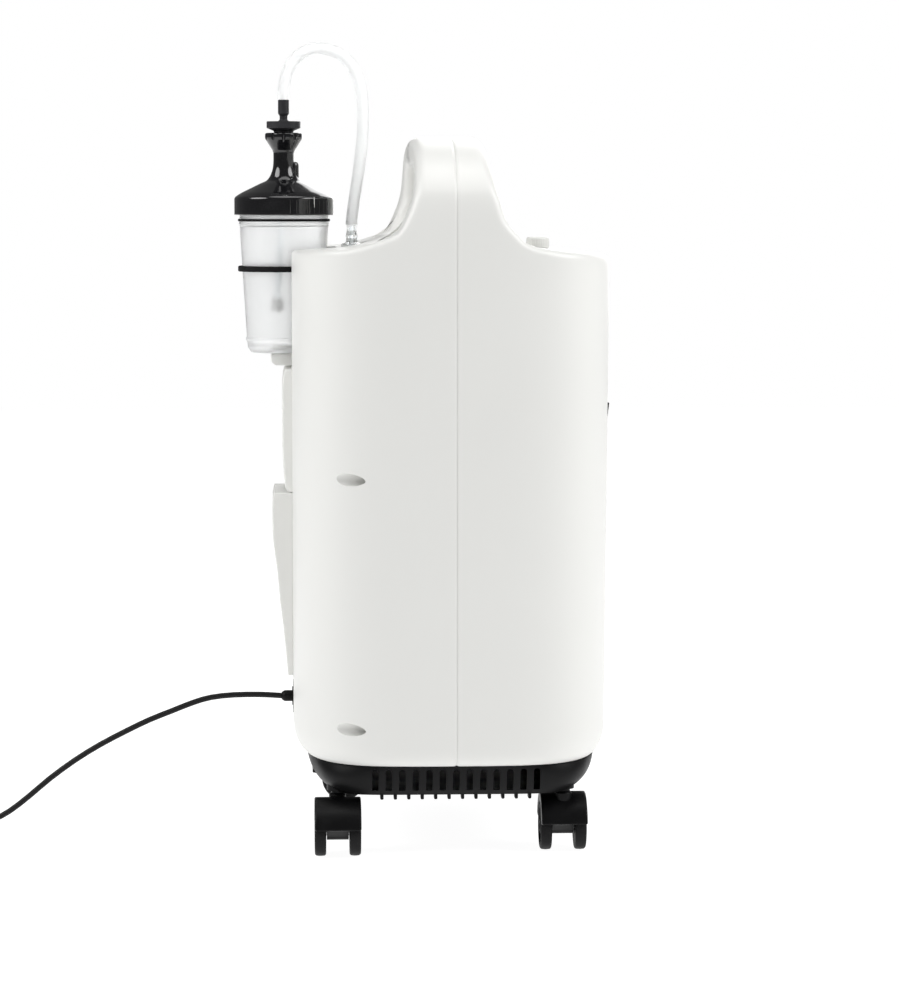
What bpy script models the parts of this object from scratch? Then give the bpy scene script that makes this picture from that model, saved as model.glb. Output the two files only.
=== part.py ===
"""Wheeled oxygen concentrator, built from separate pieces.

Sizes are in millimetres and become metres where a mesh is made. X runs across the machine, +Y is its
rear, +Z is up. Y is counted from the seam between the two shells, z from the floor.
"""
import math

import bmesh
import bpy
from mathutils import Matrix, Vector

MM = 0.001
GAP = 0.3                    # between pieces that touch

# shells
HALF_WIDTH = 185
FRONT, REAR = 133.5, 136     # from the seam to the front and rear faces, at the rim
LEAN = 0.0085                # the front face leans forward with height
PLAN_POWER = 3.7             # squareness of the plan outline
WALL = 3.5
RIM_Z = 79.5                   # where the shells stand on the base tray
RIM_INSET, RIM_RISE = 12, 24
TOP_EDGE_Z = 499             # where the front face turns over into the shoulder
ARCH_Z, ARCH_RISE, ARCH_POWER = 508, 97, 3.2
GRIP_X, GRIP_LOW, GRIP_HIGH, GRIP_ROUND = 112, 522, 578, 25

# rear face
NICHE_X, NICHE_Y, NICHE_Z = 47, 97, 407.5
BULGE_X, BULGE_Y, BULGE_FOOT_Y, BULGE_FULL_Z = 50, 144.3, 142, 340
DOOR_LOW, DOOR_TOP = 139.8, 299
DOOR_INNER_Y, REBATE_Y = 133.8, 133.2
DOOR_HINGE = (0, 136.4, 141)
FOAM_X, FOAM_Y, FOAM_LOW, FOAM_TOP = 44, 122, 150, 288
RECESS_X, RECESS_Y, RECESS_TOP = 58, 125, 139
BORE_X, BORE_WIDE, BORE_HIGH, BORE_END_Y, BORE_ZS = 173, 6, 5.2, 40, (111, 320)
BORE_MOUTH_Y, BORE_TILT = 87, 0.07   # the bores run down towards the front

# front face and shoulders
PANEL_X, PANEL_LOW, PANEL_TOP, PANEL_Y = 62, 330, 470, -130
PANEL_FACE, POCKET_OPEN = PANEL_Y - 5, PANEL_Y - 16
WINDOW_X, WINDOW_LOW, WINDOW_TOP = (-48, 4), 420, 456
METER_X, METER_LOW, METER_TOP, METER_PROUD = (18, 48), 345, 456, 7
FLOAT_Y, FLOAT_R, FLOAT_Z, SIGHT_R = PANEL_Y - 3.6, 2.2, 353, 2.4
CONTROL_Z, ROCKER_X, BREAKER_X, BREAKER_R = 362, -34, -5, 5
BREAKER_PROUD = 8.5          # its face is the foremost point of the machine
KNOB_Y, KNOB_R, KNOB_SEAT_Z, KNOB_TOP = -80, 10, 508.5, 519
ROCKER_TILT = 7              # degrees each way from the middle
NIPPLE_Y, NIPPLE_SEAT_Z, NIPPLE_TOP = 83, 509, 529

# base tray and casters
TRAY_LOW, TRAY_WALL = 54, 3
SLOTS, SLOT_PITCH, SLOT_WIDTH, SLOT_LOW, SLOT_TOP = 13, 11.3, 5.4, 58, 77
STEM_X, STEM_REAR_Y, STEM_FRONT_Y, STEM_R = 137, 99, -92.6, 5.5
TRAIL = 10                   # wheel axle behind the swivel stem
WHEEL_R, WHEEL_WIDTH, WHEEL_GAP = 20, 10, 19
WHEEL_SIDES = 24
AXLE_R, HOOD_R, STEM_TOP = 3, 29.6, 68

# humidifier, on an upright axis behind the seam
JAR_Y = 142
JAR_LOW, JAR_TOP, JAR_LOW_R, JAR_TOP_R, JAR_WALL = 418.5, 536, 32, 39, 2
LID_R, LID_LOW, LID_RIM, LID_TOP, NECK_R = 43.2, 538, 554, 592, 9
THREAD_R, THREAD_TOP, LID_BORE_R = LID_R - 4.7, 549, 5.3
# the frame's origin is midway along the machine
SEAM_TO_MIDDLE = (JAR_Y + LID_R + PANEL_Y - BREAKER_PROUD) / 2
NUT_R, NUT_TOP = 16.2, 609.3
FLANGE_R, FLANGE_TOP, NOZZLE_R, NOZZLE_TOP = 14.8, 619.3, 4.8, 638
PORT_Z, PORT_R, PORT_X = 575, 3.2, 26
STRAP_LOW, STRAP_TOP, STRAP_R = 489, 494, 37
STRAP_FOOT_Y, STRAP_FOOT_REAR_Y = 106, 112
VALVE_Y, VALVE_R, VALVE_TOP = JAR_Y - 8.2, 5, 584.5
DIFFUSER_R, DIFFUSER_LOW, DIFFUSER_TOP, TUBE_BORE_R, TUBE_LEAN = 5, 454, 465.5, 2, 3
HOSE_R, CORD_R = 5, 2.5
HOSE_ROUTE = [(83, 529.4), (83, 533), (82, 542), (79.5, 558), (76.5, 578), (73.8, 600), (72.6, 620),
              (73.4, 640), (77.5, 658), (87, 673), (101, 681), (116, 682.3), (129, 676), (138, 663),
              (141.6, 649), (142, 642), (142, 638.4)]
CORD_ROUTE = [(0, 145.3, 115), (0, 152, 115.5), (0, 166, 116.2), (0, 188, 116), (0, 208, 113.9),
              (0, 224, 109.4), (0, 243, 102), (0, 262, 94.5), (0, 282, 85), (0, 306, 72.5), (0, 328, 59),
              (0, 350, 43), (0, 369, 27), (0, 386, 14), (0, 401, 6.3), (0, 416, 3.3), (0, 432, 2.8)]
COIL_CENTRE, COIL_R, COIL_WIDE, COIL_HIGH = (34.1, 452, 0.3), 29, 15.5, 20.4
PLUG_X, PLUG_Y, PLUG_HALF, PLUG_HIGH = 102, COIL_CENTRE[1] + 32.4, 13, 17

# inside
PLATE_Z, PLATE_THICK = 84, 4
FLOOR_Z = PLATE_Z + PLATE_THICK + GAP
MOTOR_Y, MOTOR_Z, MOTOR_R, MOTOR_HALF = 10, 165, 46, 55
FAN_Y, FAN_Z, FAN_R, FAN_DEPTH = -88, 160, 50, 24
BED_X, BED_Y, BED_R, BED_TOP = 125, -72, 36, 388
MANIFOLD_X, MANIFOLD_HALF, MANIFOLD_TOP, SOLENOID_R, SOLENOID_TOP = 140, 16, 412, 11, 446
TANK_X, TANK_Y, TANK_R, TANK_TOP = 110, 78, 33, 328
BOARD_X, BOARD_Y, BOARD_LOW, BOARD_TOP, BOARD_THICK = 78, -116.6, 250, 380, 1.6
MUFFLER_X, MUFFLER_Y = -30, 86


def clear_scene():
    """Start from nothing."""
    for obj in list(bpy.data.objects):
        bpy.data.objects.remove(obj, do_unlink=True)


def material(name, colour, roughness=0.5, metallic=0.0, alpha=1.0):
    """A Principled material of one colour."""
    made = bpy.data.materials.new(name)
    made.use_nodes = True
    shader = made.node_tree.nodes["Principled BSDF"]
    shader.inputs["Base Color"].default_value = (*colour, 1)
    shader.inputs["Roughness"].default_value = roughness
    shader.inputs["Metallic"].default_value = metallic
    shader.inputs["Alpha"].default_value = alpha
    return made


WHITE = ("white_abs", (0.78, 0.78, 0.76), 0.35)
BLACK = ("black_plastic", (0.012, 0.012, 0.013), 0.45)
GLOSS = ("gloss_black", (0.006, 0.006, 0.007), 0.12)
GREY = ("grey_plastic", (0.08, 0.08, 0.09), 0.4)
PALE = ("pale_plastic", (0.55, 0.55, 0.54), 0.5)
CLEAR = ("clear_plastic", (0.85, 0.9, 0.93), 0.08, 0.0, 0.35)
RUBBER = ("rubber", (0.02, 0.02, 0.021), 0.75)
STEEL = ("steel", (0.55, 0.55, 0.56), 0.35, 1.0)
ALLOY = ("alloy", (0.7, 0.7, 0.72), 0.4, 1.0)
FOAM = ("foam", (0.05, 0.05, 0.055), 0.95)
BOARD = ("circuit_board", (0.02, 0.16, 0.07), 0.5)


# outlines -------------------------------------------------------------------------------------------

def arc(cx, cy, r, start, end, steps):
    """Points on an arc, angles in degrees."""
    turns = [math.radians(start + (end - start) * i / steps) for i in range(steps + 1)]
    return [(cx + r * math.cos(t), cy + r * math.sin(t)) for t in turns]


def rounded_rectangle(u0, v0, u1, v1, r, steps=5):
    """Counter-clockwise rectangle with round corners."""
    corners = ((u1 - r, v0 + r, -90), (u1 - r, v1 - r, 0), (u0 + r, v1 - r, 90), (u0 + r, v0 + r, 180))
    return [point for cx, cy, turn in corners for point in arc(cx, cy, r, turn, turn + 90, steps)]


def superellipse(a, b_rear, b_front, power, steps=48):
    """Plan outline with its own half-length to the rear and to the front."""
    points = []
    for i in range(steps):
        t = 2 * math.pi * (i + 0.5) / steps
        c, s = math.cos(t), math.sin(t)
        b = b_rear if s > 0 else b_front
        x, y = a * abs(c) ** (2 / power), b * abs(s) ** (2 / power)
        points.append((math.copysign(x, c), math.copysign(y, s)))
    return points


def ellipse(cx, cy, a, b, steps=24):
    turns = [2 * math.pi * i / steps for i in range(steps)]
    return [(cx + a * math.cos(t), cy + b * math.sin(t)) for t in turns]


def smooth(points, per_span=4):
    """A Catmull-Rom curve through the points, with the ends kept."""
    padded = [Vector(points[0]) * 2 - Vector(points[1]), *map(Vector, points),
              Vector(points[-1]) * 2 - Vector(points[-2])]
    curve = []
    for p0, p1, p2, p3 in zip(padded, padded[1:], padded[2:], padded[3:]):
        for i in range(per_span):
            t = i / per_span
            curve.append(tuple(0.5 * (2 * p1 + (p2 - p0) * t + (2 * p0 - 5 * p1 + 4 * p2 - p3) * t * t
                                      + (3 * p1 - p0 - 3 * p2 + p3) * t ** 3)))
    curve.append(tuple(points[-1]))
    return curve


def inset_outline(points, distance):
    """Move a counter-clockwise outline inwards by a distance."""
    moved = []
    for before, here, after in zip(points[-1:] + points[:-1], points, points[1:] + points[:1]):
        normal = (Vector(here) - Vector(before)).normalized() + (Vector(after) - Vector(here)).normalized()
        inward = Vector((-normal.y, normal.x)).normalized()
        moved.append(tuple(Vector(here) + inward * distance))
    return moved


# solids ---------------------------------------------------------------------------------------------

def mesh_object(name, bm, finish=None, origin=(0, 0, 0), smooth_angle=30):
    """Turn a bmesh in millimetres into an object whose origin is where it turns or slides."""
    bmesh.ops.recalc_face_normals(bm, faces=bm.faces)
    bmesh.ops.translate(bm, verts=bm.verts, vec=-Vector(origin))
    bmesh.ops.scale(bm, verts=bm.verts, vec=(MM, MM, MM))
    mesh = bpy.data.meshes.new(name)
    bm.to_mesh(mesh)
    bm.free()
    obj = bpy.data.objects.new(name, mesh)
    bpy.context.collection.objects.link(obj)
    obj.parent = FRAME
    obj.location = Vector(origin) * MM
    if finish:
        mesh.materials.append(material(*finish))
        mesh.shade_smooth()
        mesh.set_sharp_from_angle(angle=math.radians(smooth_angle))
    else:
        obj.hide_render = True
        obj.display_type = "WIRE"
    return obj


def prism_mesh(outline, axis, low, high):
    """An outline pushed along an axis. X takes (y, z), Y takes (x, z), Z takes (x, y)."""
    place = {"X": lambda u, v, w: (w, u, v), "Y": lambda u, v, w: (u, w, v), "Z": lambda u, v, w: (u, v, w)}
    return loft_mesh([[place[axis](u, v, w) for u, v in outline] for w in (low, high)])


def loft_mesh(sections):
    """Closed loops of the same number of points, joined in turn and capped."""
    bm = bmesh.new()
    rings = [[bm.verts.new(point) for point in section] for section in sections]
    for below, above in zip(rings, rings[1:]):
        for i in range(len(below)):
            j = (i + 1) % len(below)
            bm.faces.new((below[i], below[j], above[j], above[i]))
    bmesh.ops.triangulate(bm, faces=bm.faces)
    bm.faces.new(rings[0][::-1])
    bm.faces.new(rings[-1])
    return bm


def box_mesh(low, high):
    """A box between two corners."""
    bm = bmesh.new()
    middle = (Vector(low) + Vector(high)) / 2
    size = Vector(high) - Vector(low)
    bmesh.ops.create_cube(bm, size=1, matrix=Matrix.Translation(middle) @ Matrix.Diagonal((*size, 1)))
    return bm


def turned_mesh(profile, centre=(0, 0, 0), axis="Z", sides=32, phase=0.0):
    """A profile of (radius, height) turned round an axis; a profile with no zero radius is a ring."""
    bm = bmesh.new()
    rings = []
    for radius, height in profile:
        turns = [2 * math.pi * (i + phase) / sides for i in range(sides if radius else 1)]
        rings.append([bm.verts.new((radius * math.cos(t), radius * math.sin(t), height)) for t in turns])
    if profile[0][0] and profile[-1][0]:
        rings.append(rings[0])
    for lower, upper in zip(rings, rings[1:]):
        for i in range(sides):
            j = (i + 1) % sides
            below, above = len(lower), len(upper)
            corners = [lower[i % below], lower[j % below], upper[j % above], upper[i % above]]
            bm.faces.new(list(dict.fromkeys(corners)))
    turn = {"Z": Matrix.Identity(4), "X": Matrix.Rotation(math.pi / 2, 4, "Y"),
            "Y": Matrix.Rotation(-math.pi / 2, 4, "X")}[axis]
    bmesh.ops.transform(bm, verts=bm.verts, matrix=Matrix.Translation(centre) @ turn)
    return bm


def cylinder_mesh(r, low, high, centre=(0, 0, 0), axis="Z", sides=20, phase=0.0):
    """A plain cylinder from low to high along its axis."""
    return turned_mesh([(0, low), (r, low), (r, high), (0, high)], centre, axis, sides, phase)


def boolean(obj, bm, operation, solver="EXACT"):
    """Combine an object with a hidden tool."""
    tool = bm if isinstance(bm, bpy.types.Object) else mesh_object(obj.name + "_tool", bm)
    step = obj.modifiers.new(operation.lower(), "BOOLEAN")
    step.operation = operation
    step.solver = solver
    step.object = tool
    return tool


def cut(obj, bm, solver="EXACT"):
    return boolean(obj, bm, "DIFFERENCE", solver)


def fuse(obj, bm, solver="EXACT"):
    return boolean(obj, bm, "UNION", solver)


def round_edges(obj, width, segments=2, angle=50):
    """Round an object's sharp edges."""
    step = obj.modifiers.new("round", "BEVEL")
    step.width = width * MM
    step.segments = segments
    step.limit_method = "ANGLE"
    step.angle_limit = math.radians(angle)


# shells ---------------------------------------------------------------------------------------------

def front_at(z):
    """Distance from the seam to the front face at a height."""
    return FRONT + LEAN * (z - RIM_Z)


def side_profile(inset, bottom):
    """Outline seen from the side: shoulders that sweep up into the handle."""
    edge, rear_edge = 6 - front_at(TOP_EDGE_Z), REAR - 4
    front = smooth([(edge, 505), (-108, 507), (-79, 510), (-60, 514.5), (-50, 523), (-41, 534), (-35.5, 550),
                    (-29.5, 575), (-26.8, 591)], 3)
    grip = smooth([(-26, 597), (-21.5, 602.6), (-6, 604.6), (6, 605), (22, 604), (30, 600), (33, 592)], 2)
    rear = smooth([(33.2, 570), (36, 550), (46, 527), (55, 520), (70, 515), (88, 511), (104, 510),
                   (rear_edge, 508.5)], 3)
    outline = [(-155, bottom), (-155, TOP_EDGE_Z), *arc(edge, TOP_EDGE_Z, 6, 180, 95, 4)[1:],
               *front, *grip, *rear, *arc(rear_edge, 504.5, 4, 80, 0, 3), (160, 504.5), (160, bottom)]
    return inset_outline(outline[::-1], inset)


def arch_profile(inset, bottom):
    """Outline seen from the front: the handle's arch."""
    half = []
    for i in range(25):
        t = math.pi / 2 * i / 24
        x = (HALF_WIDTH + 4 - inset) * math.cos(t) ** (2 / ARCH_POWER)
        half.append((x, ARCH_Z + (ARCH_RISE + 0.6 - inset) * math.sin(t) ** (2 / ARCH_POWER)))
    arch = half + [(-x, z) for x, z in half[-2::-1]]
    return [(HALF_WIDTH + 10, bottom), (HALF_WIDTH + 10, ARCH_Z - 8)] + arch + [
        (-HALF_WIDTH - 10, ARCH_Z - 8), (-HALF_WIDTH - 10, bottom)]


def body_block(name, inset, bottom, finish=None):
    """The whole outer shape of both shells, or the hollow inside them."""
    sections = []
    levels = [(bottom, RIM_INSET)] if inset else []
    for i in range(4):
        rise = RIM_RISE * i / 3
        levels.append((RIM_Z + rise, RIM_INSET * (1 - math.sqrt(1 - (1 - rise / RIM_RISE) ** 2))))
    levels.append((630, 0))
    for z, rim in levels:
        shrink = rim + inset
        outline = superellipse(HALF_WIDTH - shrink, REAR - shrink, front_at(z) - shrink, PLAN_POWER)
        sections.append([(x, y, z) for x, y in outline])
    block = mesh_object(name, loft_mesh(sections), finish)
    low = bottom - 20
    boolean(block, prism_mesh(side_profile(inset, low), "X", -220, 220), "INTERSECT")
    boolean(block, prism_mesh(arch_profile(inset, low), "Y", -180, 180), "INTERSECT")
    grip = rounded_rectangle(-GRIP_X - inset, GRIP_LOW - inset, GRIP_X + inset, GRIP_HIGH + inset,
                             GRIP_ROUND + inset)
    cut(block, prism_mesh(grip, "Y", -120, 120))
    return block


def grown(low, high, by):
    """A box that is larger all round."""
    return [value - by for value in low], [value + by for value in high]


def pocket(shell, hollow, low, high):
    """A box sunk into a shell, with a wall kept round it."""
    cut(shell, box_mesh(low, high))
    cut(hollow, box_mesh(*grown(low, high, WALL)))


def seat(shell, hollow, y, z, r):
    """A round flat seat in a shoulder."""
    cut(shell, cylinder_mesh(r, z, z + 30, (0, y, 0)))
    cut(hollow, cylinder_mesh(r + WALL, z - WALL, z + 30, (0, y, 0)))


def block_and_hollow(name):
    """The outer block of a shell and the hollow to be cut out of it."""
    return body_block(name, 0, RIM_Z, WHITE), body_block(name + "_hollow", WALL, RIM_Z - 15)


def keep_side(shell, side):
    """Cut away what lies beyond the seam."""
    edge = GAP / 2 * side
    low, high = sorted((edge, -200 * side))
    cut(shell, box_mesh((-220, low, 40), (220, high, 640)))


def front_shell():
    shell, hollow = block_and_hollow("front_shell")
    pocket(shell, hollow, (-PANEL_X, -150, PANEL_LOW), (PANEL_X, PANEL_Y, PANEL_TOP))
    seat(shell, hollow, KNOB_Y, KNOB_SEAT_Z, KNOB_R + 1)
    cut(shell, hollow)
    keep_side(shell, -1)


def bore_mesh(x, z, low, grow):
    """An oval bore that runs down towards the front from its mouth."""
    sections = []
    for y in (low, 150):
        loop = ellipse(x, z + BORE_TILT * (y - BORE_MOUTH_Y), BORE_WIDE + grow, BORE_HIGH + grow)
        sections.append([(u, y, v) for u, v in loop])
    return loft_mesh(sections)


def rear_shell():
    shell, hollow = block_and_hollow("rear_shell")
    bulge = [(120, DOOR_TOP + GAP), (BULGE_FOOT_Y, DOOR_TOP + GAP), (BULGE_Y, BULGE_FULL_Z),
             (BULGE_Y, NICHE_Z - 2.5), (BULGE_Y - 2, NICHE_Z - 0.5), (120, NICHE_Z - 0.5)]
    fuse(shell, prism_mesh(bulge, "X", -BULGE_X, BULGE_X))
    pocket(shell, hollow, (-NICHE_X, NICHE_Y, NICHE_Z), (NICHE_X, 170, 560))
    pocket(shell, hollow, (-FOAM_X, FOAM_Y, FOAM_LOW), (FOAM_X, 170, FOAM_TOP))
    pocket(shell, hollow, (-RECESS_X, RECESS_Y, 60), (RECESS_X, 170, RECESS_TOP))
    cut(shell, box_mesh((-BULGE_X - 0.4, REBATE_Y, RECESS_TOP - 5), (BULGE_X + 0.4, 170, DOOR_TOP + GAP)))
    cut(hollow, box_mesh((-BULGE_X - 4, REBATE_Y - WALL, RECESS_TOP - 5), (BULGE_X + 4, 170, DOOR_TOP + 4)))
    duct = box_mesh((-20, 100, 200), (20, 130, 240))
    cut(shell, duct)
    seat(shell, hollow, NIPPLE_Y, NIPPLE_SEAT_Z, 10)
    for x in (-BORE_X, BORE_X):
        for z in BORE_ZS:
            cut(shell, bore_mesh(x, z, BORE_END_Y, 0))
            cut(hollow, bore_mesh(x, z, BORE_END_Y - WALL, WALL))
    cut(shell, hollow)
    keep_side(shell, 1)


def shell_screws():
    """Pan-head screws at the blind ends of the four side bores."""
    for side, x in (("left", -BORE_X), ("right", BORE_X)):
        for level, mouth in zip(("low", "high"), BORE_ZS):
            z = mouth + BORE_TILT * (BORE_END_Y - BORE_MOUTH_Y)
            screw = turned_mesh([(0, BORE_END_Y + GAP), (4.2, BORE_END_Y + GAP), (4.2, BORE_END_Y + 1.8),
                                 (2.6, BORE_END_Y + 3), (0, BORE_END_Y + 3.2)], (x, 0, z), "Y", 12)
            obj = mesh_object(f"shell_screw_{side}_{level}", screw, STEEL)
            cut(obj, box_mesh((x - 2.2, BORE_END_Y + 1.8, z - 0.4), (x + 2.2, BORE_END_Y + 5, z + 0.4)))


# base tray and casters ------------------------------------------------------------------------------

def tray_section(z, wall=0.0):
    """Plan outline of the tray at a height; it rounds under and gets squarer towards its floor."""
    depth = (RIM_Z - z) / (RIM_Z - TRAY_LOW)
    inset = RIM_INSET - 1 + 10 * depth + 12.5 * depth ** 3 + wall
    half_width = HALF_WIDTH - RIM_INSET - 0.45 * (inset - RIM_INSET) - 0.55 * wall
    outline = superellipse(half_width, REAR - inset + 3.6 * depth, FRONT - inset + 1.9, 4 + 3 * depth, 40)
    return [(x, y, z) for x, y in outline]


def base_tray():
    levels = [TRAY_LOW + (RIM_Z - GAP - TRAY_LOW) * i / 3 for i in range(4)]
    tray = mesh_object("base_tray", loft_mesh([tray_section(z) for z in levels]), BLACK)
    inner = [TRAY_LOW + TRAY_WALL + (RIM_Z + 5 - TRAY_LOW) * i / 3 for i in range(4)]
    hollow = [tray_section(min(z, RIM_Z), TRAY_WALL) for z in inner]
    cut(tray, loft_mesh([[(x, y, z) for x, y, _ in loop] for loop, z in zip(hollow, inner)]))
    first = -SLOT_PITCH * (SLOTS - 1) / 2
    for i in range(SLOTS):
        y = first + SLOT_PITCH * i
        for low, high in ((-200, -120), (120, 200)):
            cut(tray, box_mesh((low, y - SLOT_WIDTH / 2, SLOT_LOW), (high, y + SLOT_WIDTH / 2, SLOT_TOP)))
    for x, y in stems():
        fuse(tray, cylinder_mesh(9, TRAY_LOW + 7, 72, (x, y, 0)), "MANIFOLD")
        cut(tray, cylinder_mesh(STEM_R + 0.5, 40, 80, (x, y, 0)), "MANIFOLD")


def stems():
    """Where the four swivel stems stand."""
    return [(x, y) for y in (STEM_REAR_Y, STEM_FRONT_Y) for x in (-STEM_X, STEM_X)]


def caster(name, x, y, trail, turn):
    """Hood, axle and two wheels; the axle trails the stem along X, then all of it swivels by the turn."""
    ax = x + trail
    swivel = Matrix.Translation((x, y, 0)) @ Matrix.Rotation(math.radians(turn), 4, "Z") @ Matrix.Translation(
        (-x, -y, 0))
    hub = swivel @ Vector((ax, y, WHEEL_R))

    def turned(bm):
        bmesh.ops.transform(bm, verts=bm.verts, matrix=swivel)
        return bm

    half = WHEEL_GAP / 2 - GAP
    inner_r = WHEEL_R + 1.2
    top = WHEEL_R + HOOD_R
    reach = WHEEL_GAP / 2 + WHEEL_WIDTH
    web = [(u + ax, v + WHEEL_R) for u, v in
           arc(0, 0, 6.5, 205, 335, 4) + [(17, 6)] + arc(0, 0, inner_r + 1, 22, 158, 8) + [(-17, 6)]]
    fender = [(u + ax, v + WHEEL_R) for u, v in
              arc(0, 0, HOOD_R, 12, 168, 12) + arc(0, 0, inner_r, 168, 12, 10)]
    hood = mesh_object(name + "_hood", turned(prism_mesh(web, "Y", y - half, y + half)), BLACK, (x, y, top))
    fuse(hood, turned(prism_mesh(fender, "Y", y - reach, y + reach)))
    fuse(hood, cylinder_mesh(STEM_R, top - 6, STEM_TOP, (x, y, 0)))
    cut(hood, turned(cylinder_mesh(AXLE_R + 0.2, -30, 30, (ax, y, WHEEL_R), "Y")))
    axle = cylinder_mesh(AXLE_R, -reach + 1, reach - 1, (ax, y, WHEEL_R), "Y", 24)
    mesh_object(name + "_axle", turned(axle), STEEL, hub)
    tread = WHEEL_R / math.cos(math.pi / WHEEL_SIDES)
    bore = AXLE_R + 0.1
    profile = [(bore, 0), (tread - 1.2, 0), (tread, 1.2), (tread, WHEEL_WIDTH - 1.2),
               (tread - 1.2, WHEEL_WIDTH), (bore, WHEEL_WIDTH)]
    for label, start in (("front", -WHEEL_GAP / 2 - WHEEL_WIDTH), ("rear", WHEEL_GAP / 2)):
        wheel = turned_mesh([(r, start + h) for r, h in profile], (ax, y, WHEEL_R), "Y", WHEEL_SIDES, 0.5)
        mesh_object(f"{name}_wheel_{label}", turned(wheel), RUBBER, hub)


def casters():
    """The four casters, each swivelled its own way."""
    kinds = (("caster_rear_left", -TRAIL, 0), ("caster_rear_right", -TRAIL, 90),
             ("caster_front_left", TRAIL, 0), ("caster_front_right", TRAIL, 0))
    for (x, y), (name, trail, turn) in zip(stems(), kinds):
        caster(name, x, y, trail, turn)


# front panel ----------------------------------------------------------------------------------------

def front_panel():
    """Panel plate with the display, the flowmeter, the power rocker and the breaker button."""
    outline = rounded_rectangle(-PANEL_X + GAP, PANEL_LOW + GAP, PANEL_X - GAP, PANEL_TOP - GAP, 1)
    panel = mesh_object("front_panel", prism_mesh(outline, "Y", PANEL_FACE, PANEL_Y - GAP), GREY)
    (left, right), sunk = WINDOW_X, PANEL_Y - 2.5
    cut(panel, box_mesh((left - GAP, POCKET_OPEN, WINDOW_LOW - GAP), (right + GAP, sunk, WINDOW_TOP + GAP)))
    window = rounded_rectangle(left, WINDOW_LOW, right, WINDOW_TOP, 2)
    mesh_object("display_window", prism_mesh(window, "Y", PANEL_FACE - 0.6, sunk - GAP), GLOSS)

    left, right = METER_X
    cut(panel, box_mesh((left - GAP, POCKET_OPEN, METER_LOW - GAP),
                        (right + GAP, PANEL_Y + 10, METER_TOP + GAP)))
    body = box_mesh((left, PANEL_Y - METER_PROUD, METER_LOW), (right, PANEL_Y - GAP, METER_TOP))
    meter = mesh_object("flowmeter_body", body, CLEAR)
    centre = ((left + right) / 2, FLOAT_Y, 0)
    cut(meter, cylinder_mesh(SIGHT_R, METER_LOW + 5, METER_TOP + 14, centre, "Z", 24))
    centre = (centre[0], FLOAT_Y, FLOAT_Z)
    ball = [(0, -FLOAT_R)] + [(FLOAT_R * math.sin(math.pi * i / 8), -FLOAT_R * math.cos(math.pi * i / 8))
                              for i in range(1, 8)] + [(0, FLOAT_R)]
    mesh_object("flowmeter_float", turned_mesh(ball, centre, "Z", 16), STEEL, centre)

    # the rocker stands pressed at its lower end, so it is drawn turned on its pivot
    half_wide, half_high = 11.2, 14.4
    cut(panel, box_mesh((ROCKER_X - half_wide - 0.8, POCKET_OPEN, CONTROL_Z - half_high - 2.6),
                        (ROCKER_X + half_wide + 0.8, PANEL_Y + 10, CONTROL_Z + half_high + 2.6)))
    rocker = box_mesh((ROCKER_X - half_wide, PANEL_Y - 7.5, CONTROL_Z - half_high),
                      (ROCKER_X + half_wide, PANEL_Y - 3, CONTROL_Z + half_high))
    hinge = (ROCKER_X, PANEL_Y - 3.5, CONTROL_Z)
    pivot = Matrix.Translation(hinge)
    bmesh.ops.transform(rocker, verts=rocker.verts,
                        matrix=pivot @ Matrix.Rotation(math.radians(ROCKER_TILT), 4, "X") @ pivot.inverted())
    mesh_object("power_rocker", rocker, BLACK, hinge)
    centre = (BREAKER_X, 0, CONTROL_Z)
    cut(panel, cylinder_mesh(BREAKER_R + 0.4, POCKET_OPEN, PANEL_Y + 10, centre, "Y", 24))
    button = cylinder_mesh(BREAKER_R, PANEL_Y - BREAKER_PROUD, PANEL_Y - 3, centre, "Y", 24)
    mesh_object("breaker_button", button, BLACK, (BREAKER_X, PANEL_Y - 3, CONTROL_Z))


def flow_knob():
    """Low round knob with a grip notch, on the front shoulder."""
    low = KNOB_SEAT_Z + GAP
    knob = turned_mesh([(0, low), (KNOB_R - 0.5, low), (KNOB_R, low + 1), (KNOB_R, KNOB_TOP - 1.5),
                        (KNOB_R - 1.5, KNOB_TOP), (0, KNOB_TOP)], (0, KNOB_Y, 0))
    obj = mesh_object("flow_knob", knob, WHITE, (0, KNOB_Y, low))
    cut(obj, box_mesh((-0.8, KNOB_Y - KNOB_R - 1, KNOB_TOP - 0.8), (0.8, KNOB_Y - 3, KNOB_TOP + 1)))


# rear face ------------------------------------------------------------------------------------------

def filter_door():
    """Wedge-shaped cover, hinged along its lower edge."""
    outer = smooth([(140.2, DOOR_LOW), (142, 160), (144.6, 186), (147.2, 208), (149.3, 232), (151.8, 250),
                    (153, 266), (153.1, 290), (151.5, DOOR_TOP)], 3)
    outline = [(DOOR_INNER_Y, DOOR_TOP), (DOOR_INNER_Y, DOOR_LOW + 1), (DOOR_INNER_Y + 0.8, DOOR_LOW), *outer]
    door = mesh_object("filter_door", prism_mesh(outline, "X", -BULGE_X, BULGE_X), WHITE, DOOR_HINGE)
    cut(door, box_mesh((-FOAM_X + 4, DOOR_INNER_Y - 5, 218), (FOAM_X - 4, 146, FOAM_TOP - 4)))
    slot_low = 222
    for i in range(6):
        z = slot_low + 11 * i
        cut(door, box_mesh((-34, 140, z), (34, 160, z + 4)))


def filter_foam():
    foam = box_mesh((-FOAM_X + 1, FOAM_Y + GAP, FOAM_LOW + 1), (FOAM_X - 1, REBATE_Y - 0.6, FOAM_TOP - 1))
    mesh_object("filter_foam", foam, FOAM)


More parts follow.
